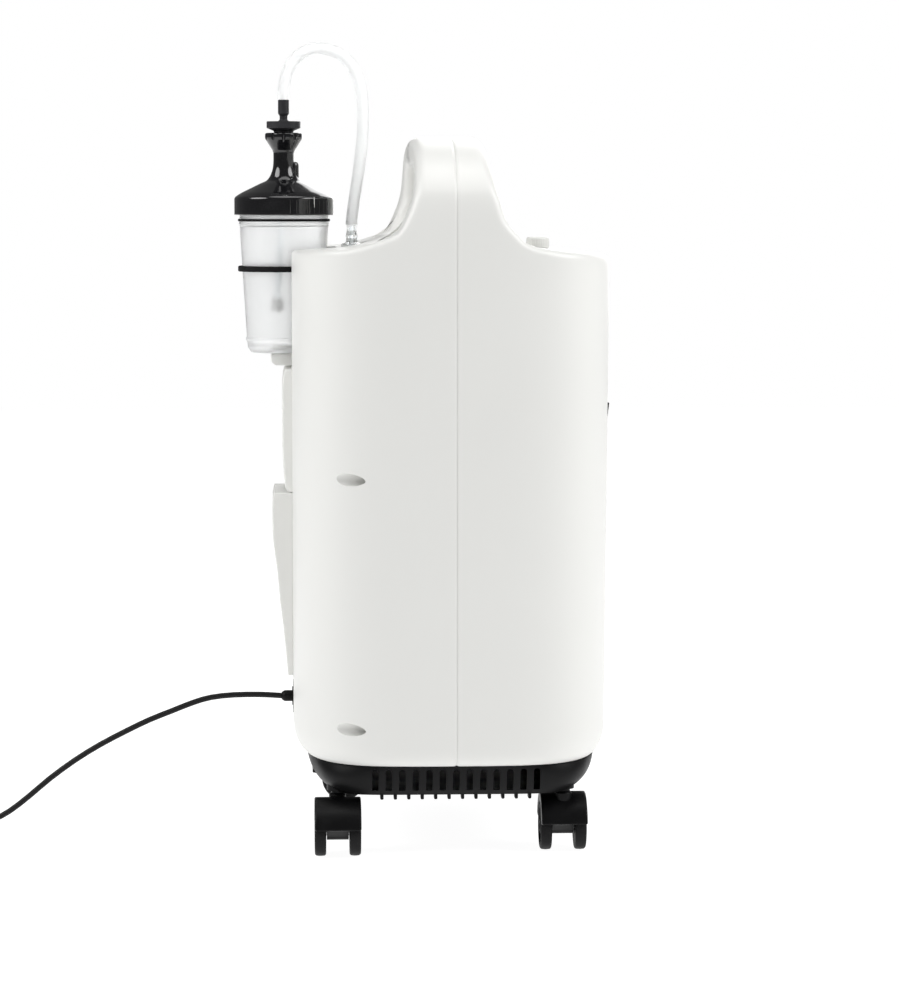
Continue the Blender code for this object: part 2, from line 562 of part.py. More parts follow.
def power_inlet():
    """Socket block at the foot of the rear face and the cord's strain relief."""
    cord_y, cord_z = CORD_ROUTE[0][1:]
    end_y = cord_y - GAP
    body = rounded_rectangle(-16, cord_z - 13, 16, cord_z + 13, 2)
    inlet = mesh_object("power_inlet", prism_mesh(body, "Y", RECESS_Y + GAP, REAR - 0.3), BLACK)
    block = rounded_rectangle(-12, cord_z - 7, 12, cord_z + 7, 2)
    cut(inlet, box_mesh((-12.3, RECESS_Y + 2.7, cord_z - 7.3), (12.3, REAR + 15, cord_z + 7.3)))
    neck = mesh_object("cord_connector", prism_mesh(block, "Y", RECESS_Y + 3, REAR + 0.5), BLACK)
    fuse(neck, turned_mesh([(0, REAR - 1), (4.9, REAR - 1), (4.9, end_y - 2), (3.4, end_y), (0, end_y)],
                           (0, 0, cord_z), "Y", 24))


def bottle_shelf():
    low, high, rear = NICHE_Z + GAP, JAR_LOW - GAP, 154
    shelf = [(NICHE_Y + GAP, low), *arc(rear - 6, low + 6, 6, -90, 0, 4), (rear, high - 2), (rear - 2, high),
             (NICHE_Y + GAP, high)]
    obj = mesh_object("bottle_shelf", prism_mesh(shelf, "X", -24, 24), WHITE)
    round_edges(obj, 0.8)


def bottle_strap():
    """Elastic band round the rear of the bottle, with a foot on each wall of the niche."""
    outer_r = STRAP_R + 4
    end, foot, foot_rear = NICHE_X - GAP, STRAP_FOOT_Y, STRAP_FOOT_REAR_Y
    outline = arc(0, JAR_Y, outer_r, 0, 180, 32) + [(-outer_r, foot_rear), (-end, foot_rear), (-end, foot),
                                                   (-STRAP_R, foot)]
    outline += arc(0, JAR_Y, STRAP_R, 180, 0, 32) + [(STRAP_R, foot), (end, foot), (end, foot_rear),
                                                     (outer_r, foot_rear)]
    mesh_object("bottle_strap", prism_mesh(outline, "Z", STRAP_LOW, STRAP_TOP), RUBBER)


def outlet_nipple():
    """Flanged barb on the rear shoulder."""
    z = NIPPLE_SEAT_Z + GAP
    profile = [(2, z), (9, z), (9, z + 3.5), (5.2, z + 5), (4.6, z + 9), (5.2, z + 10), (4.2, z + 15),
               (4.2, NIPPLE_TOP), (2, NIPPLE_TOP)]
    mesh_object("outlet_nipple", turned_mesh(profile, (0, NIPPLE_Y, 0), "Z", 20), CLEAR)


# humidifier -----------------------------------------------------------------------------------------

def leaned(bm):
    """Lean a piece that hangs in the bottle a little to the rear."""
    pivot = Matrix.Translation((0, JAR_Y, PORT_Z))
    lean = pivot @ Matrix.Rotation(math.radians(TUBE_LEAN), 4, "X") @ pivot.inverted()
    bmesh.ops.transform(bm, verts=bm.verts, matrix=lean)
    return bm


def humidifier():
    centre = (0, JAR_Y, 0)
    slope = (JAR_TOP_R - JAR_LOW_R) / (JAR_TOP - JAR_LOW)
    mouth_r = THREAD_R - JAR_WALL
    profile = [(0, JAR_LOW), (JAR_LOW_R - 4, JAR_LOW), (JAR_LOW_R - 1.2, JAR_LOW + 1.4),
               (JAR_LOW_R, JAR_LOW + 4.5), (JAR_TOP_R, JAR_TOP), (THREAD_R, JAR_TOP + 1),
               (THREAD_R, THREAD_TOP), (mouth_r, THREAD_TOP), (mouth_r - 0.6, JAR_TOP - 1),
               (JAR_LOW_R - JAR_WALL + slope * 5, JAR_LOW + 7), (JAR_LOW_R - 6, JAR_LOW + 3),
               (0, JAR_LOW + 3)]
    mesh_object("humidifier_bottle", turned_mesh(profile, centre, "Z", 40), CLEAR, (0, JAR_Y, JAR_LOW))

    lid = [(THREAD_R + 0.4, LID_LOW), (LID_R, LID_LOW), (LID_R, LID_RIM - 1.5), (LID_R - 1, LID_RIM),
           (37.5, LID_RIM + 3.2), (29.6, LID_RIM + 7), (20.5, LID_RIM + 11.5), (14.6, LID_RIM + 14),
           (11.8, LID_RIM + 18), (NECK_R + 0.6, LID_RIM + 24), (NECK_R, LID_RIM + 30), (NECK_R, LID_TOP),
           (LID_BORE_R, LID_TOP), (LID_BORE_R, THREAD_TOP + 2), (THREAD_R + 0.4, THREAD_TOP + 2)]
    obj = mesh_object("humidifier_lid", turned_mesh(lid, centre), GLOSS, (0, JAR_Y, LID_LOW))
    valve = [(0, LID_RIM + 6), (VALVE_R, LID_RIM + 6), (VALVE_R, VALVE_TOP - 2.5),
             (VALVE_R - 1.2, VALVE_TOP - 0.3), (0, VALVE_TOP)]
    fuse(obj, turned_mesh(valve, (0, VALVE_Y, 0), "Z", 20))
    cut(obj, cylinder_mesh(LID_BORE_R, THREAD_TOP + 3, LID_TOP + 4, centre))
    fuse(obj, cylinder_mesh(PORT_R, NECK_R - 3, PORT_X, (0, JAR_Y, PORT_Z), "X", 16))

    nut_low = LID_TOP + GAP
    nut = [(5.8, nut_low), (NECK_R + 0.3, nut_low), (NECK_R + 0.6, nut_low + 1.7), (12.9, nut_low + 6.9),
           (NUT_R - 0.3, nut_low + 11.5), (NUT_R, nut_low + 13), (NUT_R, NUT_TOP - 1), (NUT_R - 1, NUT_TOP),
           (5.8, NUT_TOP)]
    obj = mesh_object("humidifier_nut", turned_mesh(nut, centre), BLACK, (0, JAR_Y, nut_low))
    for i in range(10):
        t = 2 * math.pi * i / 10
        x, y = (NUT_R + 1) * math.cos(t), JAR_Y + (NUT_R + 1) * math.sin(t)
        cut(obj, cylinder_mesh(2, nut_low + 3, NUT_TOP + 2, (x, y, 0), "Z", 10))

    neck_low, bore = NUT_TOP + GAP, TUBE_BORE_R
    connector = [(bore, PORT_Z), (5, PORT_Z), (5, nut_low), (5.4, nut_low + 0.5), (5.4, neck_low),
                 (8.6, neck_low), (8.6, neck_low + 1.4), (FLANGE_R, FLANGE_TOP - 5.8),
                 (FLANGE_R, FLANGE_TOP), (5, FLANGE_TOP), (3.4, FLANGE_TOP + 1.5), (3.4, NOZZLE_TOP - 14),
                 (NOZZLE_R, NOZZLE_TOP - 12), (NOZZLE_R, NOZZLE_TOP), (bore, NOZZLE_TOP)]
    mesh_object("hose_connector", turned_mesh(connector, centre, "Z", 24), GREY, (0, JAR_Y, nut_low))
    low, high = DIFFUSER_TOP + GAP, PORT_Z - GAP
    tube_wall = [(bore, low), (bore + 1, low), (bore + 1, high), (bore, high)]
    mesh_object("dip_tube", leaned(turned_mesh(tube_wall, centre, "Z", 24)), CLEAR, (0, JAR_Y, LID_LOW))
    low, high = DIFFUSER_LOW, DIFFUSER_TOP
    diffuser = [(0, low), (DIFFUSER_R - 1, low), (DIFFUSER_R, low + 1), (DIFFUSER_R, high - 1),
                (DIFFUSER_R - 1, high), (0, high)]
    mesh_object("bubble_diffuser", leaned(turned_mesh(diffuser, centre, "Z", 24)), PALE, (0, JAR_Y, LID_LOW))


# hose and cord --------------------------------------------------------------------------------------

def tube(name, route, radius, finish, per_span, resolution):
    """A round tube along a smooth curve through a route."""
    points = smooth(route, per_span)
    data = bpy.data.curves.new(name, "CURVE")
    data.dimensions = "3D"
    data.bevel_depth = radius * MM
    data.bevel_resolution = resolution
    data.render_resolution_u = 0
    data.use_fill_caps = True
    spline = data.splines.new("POLY")
    spline.points.add(len(points) - 1)
    for target, point in zip(spline.points, points):
        target.co = (*(value * MM for value in point), 1)
    obj = bpy.data.objects.new(name, data)
    bpy.context.collection.objects.link(obj)
    obj.parent = FRAME
    data.materials.append(material(*finish))


def cords():
    tube("humidifier_hose", [(0, y, z) for y, z in HOSE_ROUTE], HOSE_R, CLEAR, 2, 2)
    tube("power_cord", CORD_ROUTE, CORD_R, RUBBER, 2, 2)
    cx, cy, low = COIL_CENTRE
    inner, outer = COIL_R - COIL_WIDE / 2, COIL_R + COIL_WIDE / 2
    ring = [(inner, low), (outer, low), (outer, low + COIL_HIGH), (inner, low + COIL_HIGH)]
    mesh_object("power_cord_coil", turned_mesh(ring, (cx, cy, 0), "Z", 36), RUBBER)


def power_plug():
    """Moulded plug with three blades, lying on the floor beside the coil."""
    middle = GAP + PLUG_HIGH / 2
    body = rounded_rectangle(PLUG_Y - PLUG_HALF, GAP, PLUG_Y + PLUG_HALF, GAP + PLUG_HIGH, 4)
    face = PLUG_X + PLUG_HALF
    plug = mesh_object("power_plug", prism_mesh(body, "X", PLUG_X - 15, face), BLACK)
    tail = [(0, -38), (3, -38), (5.5, -14), (0, -14)]
    fuse(plug, turned_mesh(tail, (PLUG_X, PLUG_Y, middle), "X", 24))
    for dy, dz in ((-6.3, 4), (6.3, 4), (0, -4)):
        y, z = PLUG_Y + dy, middle + dz
        fuse(plug, box_mesh((face - 1, y - 0.8, z - 3), (face + 17, y + 0.8, z + 3)))


# inside ---------------------------------------------------------------------------------------------

def chassis_plate():
    outline = rounded_rectangle(-150, -102, 150, 104, 30)
    mesh_object("chassis_plate", prism_mesh(outline, "Z", PLATE_Z, PLATE_Z + PLATE_THICK), STEEL)


def compressor():
    """Motor on feet, with a pump head at each end of its shaft."""
    centre = (0, MOTOR_Y, MOTOR_Z)
    drum = cylinder_mesh(MOTOR_R, -MOTOR_HALF, MOTOR_HALF, centre, "X", 36)
    motor = mesh_object("compressor_motor", drum, ALLOY)
    fuse(motor, box_mesh((-35, MOTOR_Y - 32, FLOOR_Z), (35, MOTOR_Y + 32, MOTOR_Z - 20)))
    for side, sign in (("left", -1), ("right", 1)):
        start = MOTOR_HALF + GAP
        low, high = sorted((sign * start, sign * (start + 30)))
        head = mesh_object("compressor_head_" + side, cylinder_mesh(30, low, high, centre, "X", 28), ALLOY)
        x = sign * (start + 16)
        fuse(head, cylinder_mesh(13.5, MOTOR_Z, MOTOR_Z + 62, (x, MOTOR_Y, 0)))
        top = rounded_rectangle(x - 15, MOTOR_Y - 24, x + 15, MOTOR_Y + 24, 5)
        fuse(head, prism_mesh(top, "Z", MOTOR_Z + 60, MOTOR_Z + 78))


def fan():
    """Axial fan that blows over the motor."""
    outline = rounded_rectangle(-58, FLOOR_Z, 58, FAN_Z + FAN_R + 12, 6)
    frame_mesh = prism_mesh(outline, "Y", FAN_Y - FAN_DEPTH / 2, FAN_Y + FAN_DEPTH / 2)
    shroud = mesh_object("fan_shroud", frame_mesh, BLACK)
    cut(shroud, cylinder_mesh(FAN_R + 2, -40, 40, (0, FAN_Y, FAN_Z), "Y", 40))
    hub = cylinder_mesh(17, -9, 9, (0, FAN_Y, FAN_Z), "Y", 21)
    rotor = mesh_object("fan_rotor", hub, BLACK, (0, FAN_Y, FAN_Z))
    place = Matrix.Translation((0, FAN_Y, FAN_Z))
    for i in range(7):
        blade = box_mesh((-1.2, -9, 14), (1.2, 9, FAN_R))
        turn = Matrix.Rotation(2 * math.pi * i / 7, 4, "Y") @ Matrix.Rotation(math.radians(40), 4, "Z")
        bmesh.ops.transform(blade, verts=blade.verts, matrix=place @ turn)
        fuse(rotor, blade)


def canister(r, top, centre):
    """An upright closed cylinder with chamfered ends, standing on the chassis plate."""
    profile = [(0, FLOOR_Z), (r - 4, FLOOR_Z), (r, FLOOR_Z + 6), (r, top - 6), (r - 4, top), (0, top)]
    return turned_mesh(profile, centre, "Z", 28)


def gas_train():
    """Sieve beds, the valve block across them, and the product tank."""
    for side, x in (("left", -BED_X), ("right", BED_X)):
        mesh_object("sieve_bed_" + side, canister(BED_R, BED_TOP, (x, BED_Y, 0)), ALLOY)
    body = box_mesh((-MANIFOLD_X, BED_Y - MANIFOLD_HALF, BED_TOP + GAP),
                    (MANIFOLD_X, BED_Y + MANIFOLD_HALF, MANIFOLD_TOP))
    block = mesh_object("valve_manifold", body, ALLOY)
    for x in (-75, -25, 25, 75):
        fuse(block, cylinder_mesh(SOLENOID_R, MANIFOLD_TOP - 2, SOLENOID_TOP, (x, BED_Y, 0), "Z", 24))
    mesh_object("product_tank", canister(TANK_R, TANK_TOP, (TANK_X, TANK_Y, 0)), ALLOY)


def heat_exchanger():
    core = mesh_object("heat_exchanger", box_mesh((-128, 66, FLOOR_Z), (-96, 90, 210)), ALLOY)
    for i in range(9):
        z = 98 + 12 * i
        fuse(core, box_mesh((-140, 56, z), (-84, 100, z + 1.5)))


def control_board():
    face = BOARD_Y + BOARD_THICK
    plate = box_mesh((-BOARD_X, BOARD_Y, BOARD_LOW), (BOARD_X, face, BOARD_TOP))
    board = mesh_object("control_board", plate, BOARD)
    for x, z, wide, high in ((-50, 280, 20, 26), (0, 330, 24, 24), (45, 290, 16, 30), (30, 350, 12, 10)):
        fuse(board, box_mesh((x - wide / 2, face - 0.4, z - high / 2),
                             (x + wide / 2, face + 7, z + high / 2)))


def intake_muffler():
    profile = [(6, FLOOR_Z + 3), (22, FLOOR_Z + 3), (24, FLOOR_Z + 8), (24, 226), (18, 234), (9, 236),
               (9, 250), (6, 250)]
    mesh_object("intake_muffler", turned_mesh(profile, (MUFFLER_X, MUFFLER_Y, 0), "Z", 20), BLACK)


clear_scene()
FRAME = bpy.data.objects.new("frame", None)
bpy.context.collection.objects.link(FRAME)
FRAME.location = (0, -SEAM_TO_MIDDLE * MM, 0)

front_shell()
rear_shell()
shell_screws()
base_tray()
casters()
front_panel()
flow_knob()
filter_door()
filter_foam()
power_inlet()
bottle_shelf()
bottle_strap()
outlet_nipple()
humidifier()
cords()
power_plug()
chassis_plate()
compressor()
fan()
gas_train()
heat_exchanger()
control_board()
intake_muffler()
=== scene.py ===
"""Looks of the oxygen concentrator: finished meshes, materials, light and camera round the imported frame.

Lengths are in millimetres, X across, Y measured from the seam between the shells towards the rear, Z from the
floor. in_frame() turns such a point into the frame's metres.
"""
import math

import bmesh
import bpy
import numpy as np
from mathutils import Matrix, Vector


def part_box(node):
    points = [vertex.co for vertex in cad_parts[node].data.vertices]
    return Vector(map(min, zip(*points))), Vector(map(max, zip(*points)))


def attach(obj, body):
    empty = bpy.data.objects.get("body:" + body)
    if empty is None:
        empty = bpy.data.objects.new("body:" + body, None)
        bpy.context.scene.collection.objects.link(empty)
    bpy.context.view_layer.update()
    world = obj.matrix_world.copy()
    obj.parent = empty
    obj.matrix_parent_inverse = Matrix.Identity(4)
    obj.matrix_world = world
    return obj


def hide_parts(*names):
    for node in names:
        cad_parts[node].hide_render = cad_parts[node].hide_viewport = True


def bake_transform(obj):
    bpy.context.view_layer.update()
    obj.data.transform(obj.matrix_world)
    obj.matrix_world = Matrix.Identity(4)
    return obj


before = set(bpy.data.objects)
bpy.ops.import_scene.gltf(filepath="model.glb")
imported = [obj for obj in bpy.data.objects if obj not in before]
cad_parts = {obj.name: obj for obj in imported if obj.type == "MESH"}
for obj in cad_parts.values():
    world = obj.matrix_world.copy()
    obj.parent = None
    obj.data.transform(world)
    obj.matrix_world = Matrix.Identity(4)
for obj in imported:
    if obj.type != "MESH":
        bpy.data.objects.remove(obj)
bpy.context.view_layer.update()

MM = 0.001
SEAM = (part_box("front_shell")[1][1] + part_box("rear_shell")[0][1]) / 2
GAP = 0.3

# shells
HALF_WIDTH, FRONT, REAR, PLAN_POWER, WALL = 185, 133.5, 136, 3.7, 3.5
LEAN = 0.0085                # the front face leans forward with height
PAST_SIDES, PAST_FACES, PAST_TOP = 220, 180, 660   # a cutter that goes this far clears the shells
PAST_REAR = 170
RIM_Z, RIM_INSET, RIM_RISE = 79.5, 12, 24
ARCH_Z, ARCH_RISE, ARCH_POWER = 508, 97, 3.2
GRIP_X, GRIP_LOW, GRIP_HIGH, GRIP_ROUND = 112, 522, 578, 25
HANDLE_FOOT_Z = 516          # the handle is solid above this
OUTLINE_FOOT_Z = 300         # where the outline of the shoulders is closed off
ARCH_EDGE_R, SHOULDER_R, HANDLE_R = 4, 5.2, 8
HANDLE_BLEND_Z, HANDLE_BLEND_RISE = 515, 40        # the shoulder's round grows into the handle's here
GRIP_EDGE_R, GRIP_EDGE_TOP_R, GRIP_BLEND_Z, GRIP_BLEND_RISE = 3, 12, 528, 25
SKIN_CELL, GROOVE_HALF, GROOVE_DEPTH, SEAM_HALF_GAP = 2.8, 2.4, 0.9, 0.06
NICHE_X, NICHE_Y, NICHE_Z = 47, 97, 407.5
BULGE_X, BULGE_Y, BULGE_FOOT_Y, BULGE_FULL_Z = 50, 144.3, 142, 340
DOOR_LOW, DOOR_TOP, DOOR_INNER_Y, REBATE_Y = 139.8, 299, 133.8, 133.2
LOUVRES, LOUVRE_LOW, LOUVRE_PITCH, LOUVRE_X, LOUVRE_HIGH = 6, 222, 11, 34, 4
CATCH_X, CATCH_LOW, CATCH_TOP = 16, 290.5, 296
FOAM_X, FOAM_Y, FOAM_LOW, FOAM_TOP = 44, 122, 150, 288
RECESS_X, RECESS_Y, RECESS_TOP = 58, 125, 139
BORE_X, BORE_WIDE, BORE_HIGH, BORE_END_Y, BORE_ZS = 173, 6, 5.2, 40, (111, 320)
BORE_MOUTH_Y, BORE_TILT = 87, 0.07   # the bores run down towards the front
PANEL_X, PANEL_LOW, PANEL_TOP, PANEL_Y = 62, 330, 470, -130
KNOB_Y, KNOB_R, KNOB_SEAT_Z, KNOB_TOP = -80, 10, 508.5, 519
NIPPLE_Y, NIPPLE_SEAT_Z, NIPPLE_TOP = 83, 509, 529

# tray and casters
TRAY_LOW, TRAY_WALL = 54, 3
SLOTS, SLOT_PITCH, SLOT_WIDTH, SLOT_LOW, SLOT_TOP = 13, 11.3, 5.4, 58, 77
RIB_LOW, RIB_DEPTH, RIB_WIDTH = 50, 9, 2.8
STEM_X, STEM_REAR_Y, STEM_FRONT_Y, STEM_R, STEM_TOP = 137, 99, -92.6, 5.5, 68
BOSS_R, BOSS_TOP = 9, 72
TRAIL, WHEEL_R, WHEEL_WIDTH, WHEEL_GAP, AXLE_R, HOOD_R = 10, 20, 10, 19, 3, 29.6
HUB_HOLES, HUB_HOLES_R, HUB_HOLE_R = 6, 11.2, 2.6

# humidifier
JAR_Y, JAR_LOW, JAR_TOP, JAR_LOW_R, JAR_TOP_R, JAR_WALL = 142, 418.5, 536, 32, 39, 2
LID_R, LID_LOW, LID_RIM, LID_TOP, NECK_R = 43.2, 538, 554, 592, 9
THREAD_R, THREAD_TOP, LID_BORE_R = LID_R - 4.7, 549, 5.3
VALVE_Y, VALVE_R, VALVE_TOP = JAR_Y - 8.2, 5, 584.5
NUT_R, NUT_TOP = 16.2, 609.3
FLANGE_R, FLANGE_TOP, NOZZLE_R, NOZZLE_TOP = 14.8, 619.3, 4.8, 638
PORT_Z, PORT_R, PORT_X = 575, 3.2, 26
# painted shade: a black ring round the bottle's top, under the lid, standing in for the shadow of the lid's
# thread
SHADE_RING_INNER_R, SHADE_RING_R, SHADE_RING_LOW, SHADE_RING_TOP = 38.6, 40.1, 532.6, 534.8
STRAP_LOW, STRAP_TOP, STRAP_R, STRAP_FOOT_Y, STRAP_FOOT_REAR_Y = 489, 494, 37, 106, 112

# hose and cord
HOSE_R, HOSE_BORE, CORD_R = 5, 3.4, 2.5
HOSE_ROUTE = [(83, 529.4), (83, 533), (82, 542), (79.5, 558), (76.5, 578), (73.8, 600), (72.6, 620),
              (73.4, 640), (77.5, 658), (87, 673), (101, 681), (116, 682.3), (129, 676), (138, 663),
              (141.6, 649), (142, 642), (142, 638.4)]
CORD_ROUTE = [(0, 145.3, 115), (0, 152, 115.5), (0, 166, 116.2), (0, 188, 116), (0, 208, 113.9),
              (0, 224, 109.4), (0, 243, 102), (0, 262, 94.5), (0, 282, 85), (0, 306, 72.5), (0, 328, 59),
              (0, 350, 43), (0, 369, 27), (0, 386, 14), (0, 401, 6.3), (0, 416, 3.3), (0, 432, 2.8)]
CORD_LIES_Z = 2.85           # the cord's middle where it lies on the floor
COIL_X, COIL_Y, COIL_OUTER, COIL_INNER, COIL_PITCH = 34.1, 452, 34.1, 23.9, 5.1
COIL_TURNS = 8.25
PLUG_X, PLUG_HALF, PLUG_HIGH, PLUG_TAIL = 102, 13, 17, 38
BLADE_THICK, BLADE_WIDE, BLADE_LONG = 1.6, 6, 17

# camera and light
LENS = 123.2
CAMERA_PLACE, CAMERA_DOWN, CAMERA_ASIDE = (-3000, 145.3, 552.5), 5.036, 2.823
AIM = (0, 0, 320)
LIGHT_SIZE = 1.6             # in metres
LIGHTS = {"key": ((-640, 1910, 1850), 36), "front": ((-760, -1860, 1850), 40), "top": ((-200, 0, 2400), 13),
          "far side": ((1900, -600, 1100), 14)}
FILL = 0.14                  # strength of the surroundings' light on the object


def in_frame(x, y, z):
    return Vector((x * MM, y * MM + SEAM, z * MM))


# camera --------

def camera():
    data = bpy.data.cameras.new("camera")
    data.lens = LENS
    data.clip_end = 30
    view = bpy.data.objects.new("camera", data)
    bpy.context.collection.objects.link(view)
    view.location = in_frame(*CAMERA_PLACE)
    down, aside = math.radians(CAMERA_DOWN), math.radians(CAMERA_ASIDE)
    ahead = Vector((math.cos(down) * math.cos(aside), -math.cos(down) * math.sin(aside), -math.sin(down)))
    view.rotation_euler = ahead.to_track_quat("-Z", "Y").to_euler()
    bpy.context.scene.camera = view


# outlines --------

def arc(cx, cy, r, start, end, steps):
    """Points on an arc, angles in degrees."""
    angles = [math.radians(start + (end - start) * i / steps) for i in range(steps + 1)]
    return [(cx + r * math.cos(t), cy + r * math.sin(t)) for t in angles]


def rounded_rectangle(u0, v0, u1, v1, r):
    return (arc(u1 - r, v1 - r, r, 0, 90, 8) + arc(u0 + r, v1 - r, r, 90, 180, 8)
            + arc(u0 + r, v0 + r, r, 180, 270, 8) + arc(u1 - r, v0 + r, r, 270, 360, 8))


def superellipse(a, b_rear, b_front, power, steps):
    """An oval squared off by the power, with its own depth towards the rear and the front."""
    points = []
    for i in range(steps):
        t = 2 * math.pi * i / steps
        c, s = math.cos(t), math.sin(t)
        b = b_rear if s > 0 else b_front
        points.append((math.copysign(a * abs(c) ** (2 / power), c),
                       math.copysign(b * abs(s) ** (2 / power), s)))
    return points


def ellipse(cx, cy, a, b):
    angles = [2 * math.pi * i / 64 for i in range(64)]
    return [(cx + a * math.cos(t), cy + b * math.sin(t)) for t in angles]


def smooth(points, per_span):
    """A Catmull-Rom curve through the points."""
    points = [Vector(p) for p in points]
    ends = [2 * points[0] - points[1], *points, 2 * points[-1] - points[-2]]
    curve = []
    for a, b, c, d in zip(ends, ends[1:], ends[2:], ends[3:]):
        for i in range(per_span):
            t = i / per_span
            curve.append(0.5 * (2 * b + (c - a) * t + (2 * a - 5 * b + 4 * c - d) * t * t
                                + (3 * b - a - 3 * c + d) * t ** 3))
    return [tuple(p) for p in curve] + [tuple(points[-1])]


def softened(profile, radii, steps=5):
    """A turned profile whose inner corners are rounded; radii gives one radius, or one for each corner."""
    if not hasattr(radii, "__len__"):
        radii = [radii] * len(profile)
    points = [Vector(p) for p in profile]
    result = [tuple(points[0])]
    for before, corner, after, r in zip(points, points[1:], points[2:], radii[1:]):
        reach = min(r, (before - corner).length * 0.45, (after - corner).length * 0.45)
        start = corner + (before - corner).normalized() * reach
        end = corner + (after - corner).normalized() * reach
        for i in range(steps + 1):
            t = i / steps
            result.append(tuple(start * (1 - t) ** 2 + 2 * corner * t * (1 - t) + end * t * t))
    return result + [tuple(points[-1])]


# meshes --------

# where a point of an outline, (u, v), and its place w along the axis go
ALONG = {"X": lambda u, v, w: (w, u, v), "Y": lambda u, v, w: (u, w, v), "Z": lambda u, v, w: (u, v, w)}


def mesh_object(name, bm, finish=None):
    """A bmesh as an object in the frame."""
    bmesh.ops.remove_doubles(bm, verts=bm.verts, dist=1e-4)
    bmesh.ops.recalc_face_normals(bm, faces=bm.faces)
    for v in bm.verts:
        v.co = in_frame(*v.co)
    mesh = bpy.data.meshes.new(name)
    bm.to_mesh(mesh)
    bm.free()
    obj = bpy.data.objects.new(name, mesh)
    bpy.context.collection.objects.link(obj)
    if finish:
        mesh.materials.append(finish)
    return obj


def loft_mesh(sections):
    """A closed skin through loops of equal length."""
    bm = bmesh.new()
    loops = [[bm.verts.new(p) for p in section] for section in sections]
    for low, high in zip(loops, loops[1:]):
        for i in range(len(low)):
            j = (i + 1) % len(low)
            bm.faces.new((low[i], low[j], high[j]))
            bm.faces.new((low[i], high[j], high[i]))
    bm.faces.new(loops[0][::-1])
    bm.faces.new(loops[-1])
    return bm


def prism_mesh(outline, axis, low, high):
    """A prism along X, Y or Z; the outline gives the other two coordinates in their order."""
    return loft_mesh([[ALONG[axis](u, v, w) for u, v in outline] for w in (low, high)])


def box_mesh(low, high):
    return prism_mesh([(low[0], low[1]), (high[0], low[1]), (high[0], high[1]), (low[0], high[1])], "Z",
                      low[2], high[2])


def turned_mesh(profile, centre=(0, 0, 0), axis="Z", sides=96):
    """A turned shape; the profile's points are (radius, height), open at the axis or closed as a ring."""
    bm = bmesh.new()
    rings = []
    for r, h in profile:
        count = 1 if r < 1e-6 else sides
        ring = []
        for i in range(count):
            t = 2 * math.pi * i / sides
            point = ALONG[axis](r * math.cos(t), r * math.sin(t), h)
            ring.append(bm.verts.new([p + c for p, c in zip(point, centre)]))
        rings.append(ring)
    pairs = list(zip(rings, rings[1:]))
    if len(rings[0]) > 1 and len(rings[-1]) > 1:
        pairs.append((rings[-1], rings[0]))
    for a, b in pairs:
        for i in range(sides):
            j = (i + 1) % sides
            corners = [a[i % len(a)], a[j % len(a)], b[j % len(b)], b[i % len(b)]]
            corners = [v for k, v in enumerate(corners) if v not in corners[:k]]
            if len(corners) > 2:
                bm.faces.new(corners)
    return bm


def cylinder_mesh(r, low, high, centre=(0, 0, 0), axis="Z", sides=48):
    return turned_mesh([(0, low), (r, low), (r, high), (0, high)], centre, axis, sides)


def sweep_mesh(path, radius, bore):
    """A round tube along a path."""
    sides = 32
    bm = bmesh.new()
    path = [Vector(p) for p in path]
    ends = zip(path[:1] + path[:-1], path[1:] + path[-1:])
    ahead = [(b - a).normalized() for a, b in ends if (b - a).length]
    across = Vector((1, 0, 0)) if abs(ahead[0].x) < 0.9 else Vector((0, 0, 1))
    outer, inner = [], []
    for point, direction in zip(path, ahead):
        across = (across - across.dot(direction) * direction).normalized()
        other = direction.cross(across)
        turn = [2 * math.pi * i / sides for i in range(sides)]
        ring = [across * math.cos(t) + other * math.sin(t) for t in turn]
        outer.append([bm.verts.new(point + radius * d) for d in ring])
        inner.append([bm.verts.new(point + bore * d) for d in ring])
    loops = outer + inner[::-1]
    for a, b in zip(loops, loops[1:] + loops[:1]):
        for i in range(sides):
            j = (i + 1) % sides
            bm.faces.new((a[i], a[j], b[j], b[i]))
    return bm


def bake(obj):
    """Turn the object's modifiers into its mesh."""
    graph = bpy.context.evaluated_depsgraph_get()
    mesh = bpy.data.meshes.new_from_object(obj.evaluated_get(graph))
    obj.modifiers.clear()
    old, obj.data = obj.data, mesh
    bpy.data.meshes.remove(old)


def boolean(obj, other, operation, solver):
    """other is a bmesh, or an object that is used up."""
    cutter = mesh_object("cutter", other) if isinstance(other, bmesh.types.BMesh) else other
    step = obj.modifiers.new("step", "BOOLEAN")
    step.operation, step.solver, step.object = operation, solver, cutter
    bake(obj)
    bpy.data.objects.remove(cutter)


def cut(obj, other, solver="MANIFOLD"):
    boolean(obj, other, "DIFFERENCE", solver)


def fuse(obj, other, solver="MANIFOLD"):
    boolean(obj, other, "UNION", solver)


def keep(obj, other):
    boolean(obj, other, "INTERSECT", "EXACT")


def flute(obj, count, reach, centre_y, r, low, high, sides):
    """Upright grooves round a turned piece, cut by rods of radius r that stand on a circle."""
    for i in range(count):
        t = 2 * math.pi * i / count
        x, y = reach * math.cos(t), centre_y + reach * math.sin(t)
        cut(obj, cylinder_mesh(r, low, high, (x, y, 0), "Z", sides))


def round_edges(obj, width, segments=3, angle=40):
    step = obj.modifiers.new("round", "BEVEL")
    step.width, step.segments = width * MM, segments
    step.limit_method, step.angle_limit = "ANGLE", math.radians(angle)
    step.use_clamp_overlap = True
    bake(obj)


def done(obj, body, slot, *nodes, angle=35):
    """Shade the piece, fix it to its body and let it stand for CAD nodes."""
    obj.data.polygons.foreach_set("use_smooth", [True] * len(obj.data.polygons))
    obj.data.set_sharp_from_angle(angle=math.radians(angle))
    shade = obj.modifiers.new("shade", "WEIGHTED_NORMAL")
    shade.keep_sharp = True
    if body:
        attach(obj, body)
    if nodes:
        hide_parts(*nodes)
    return obj


# materials --------

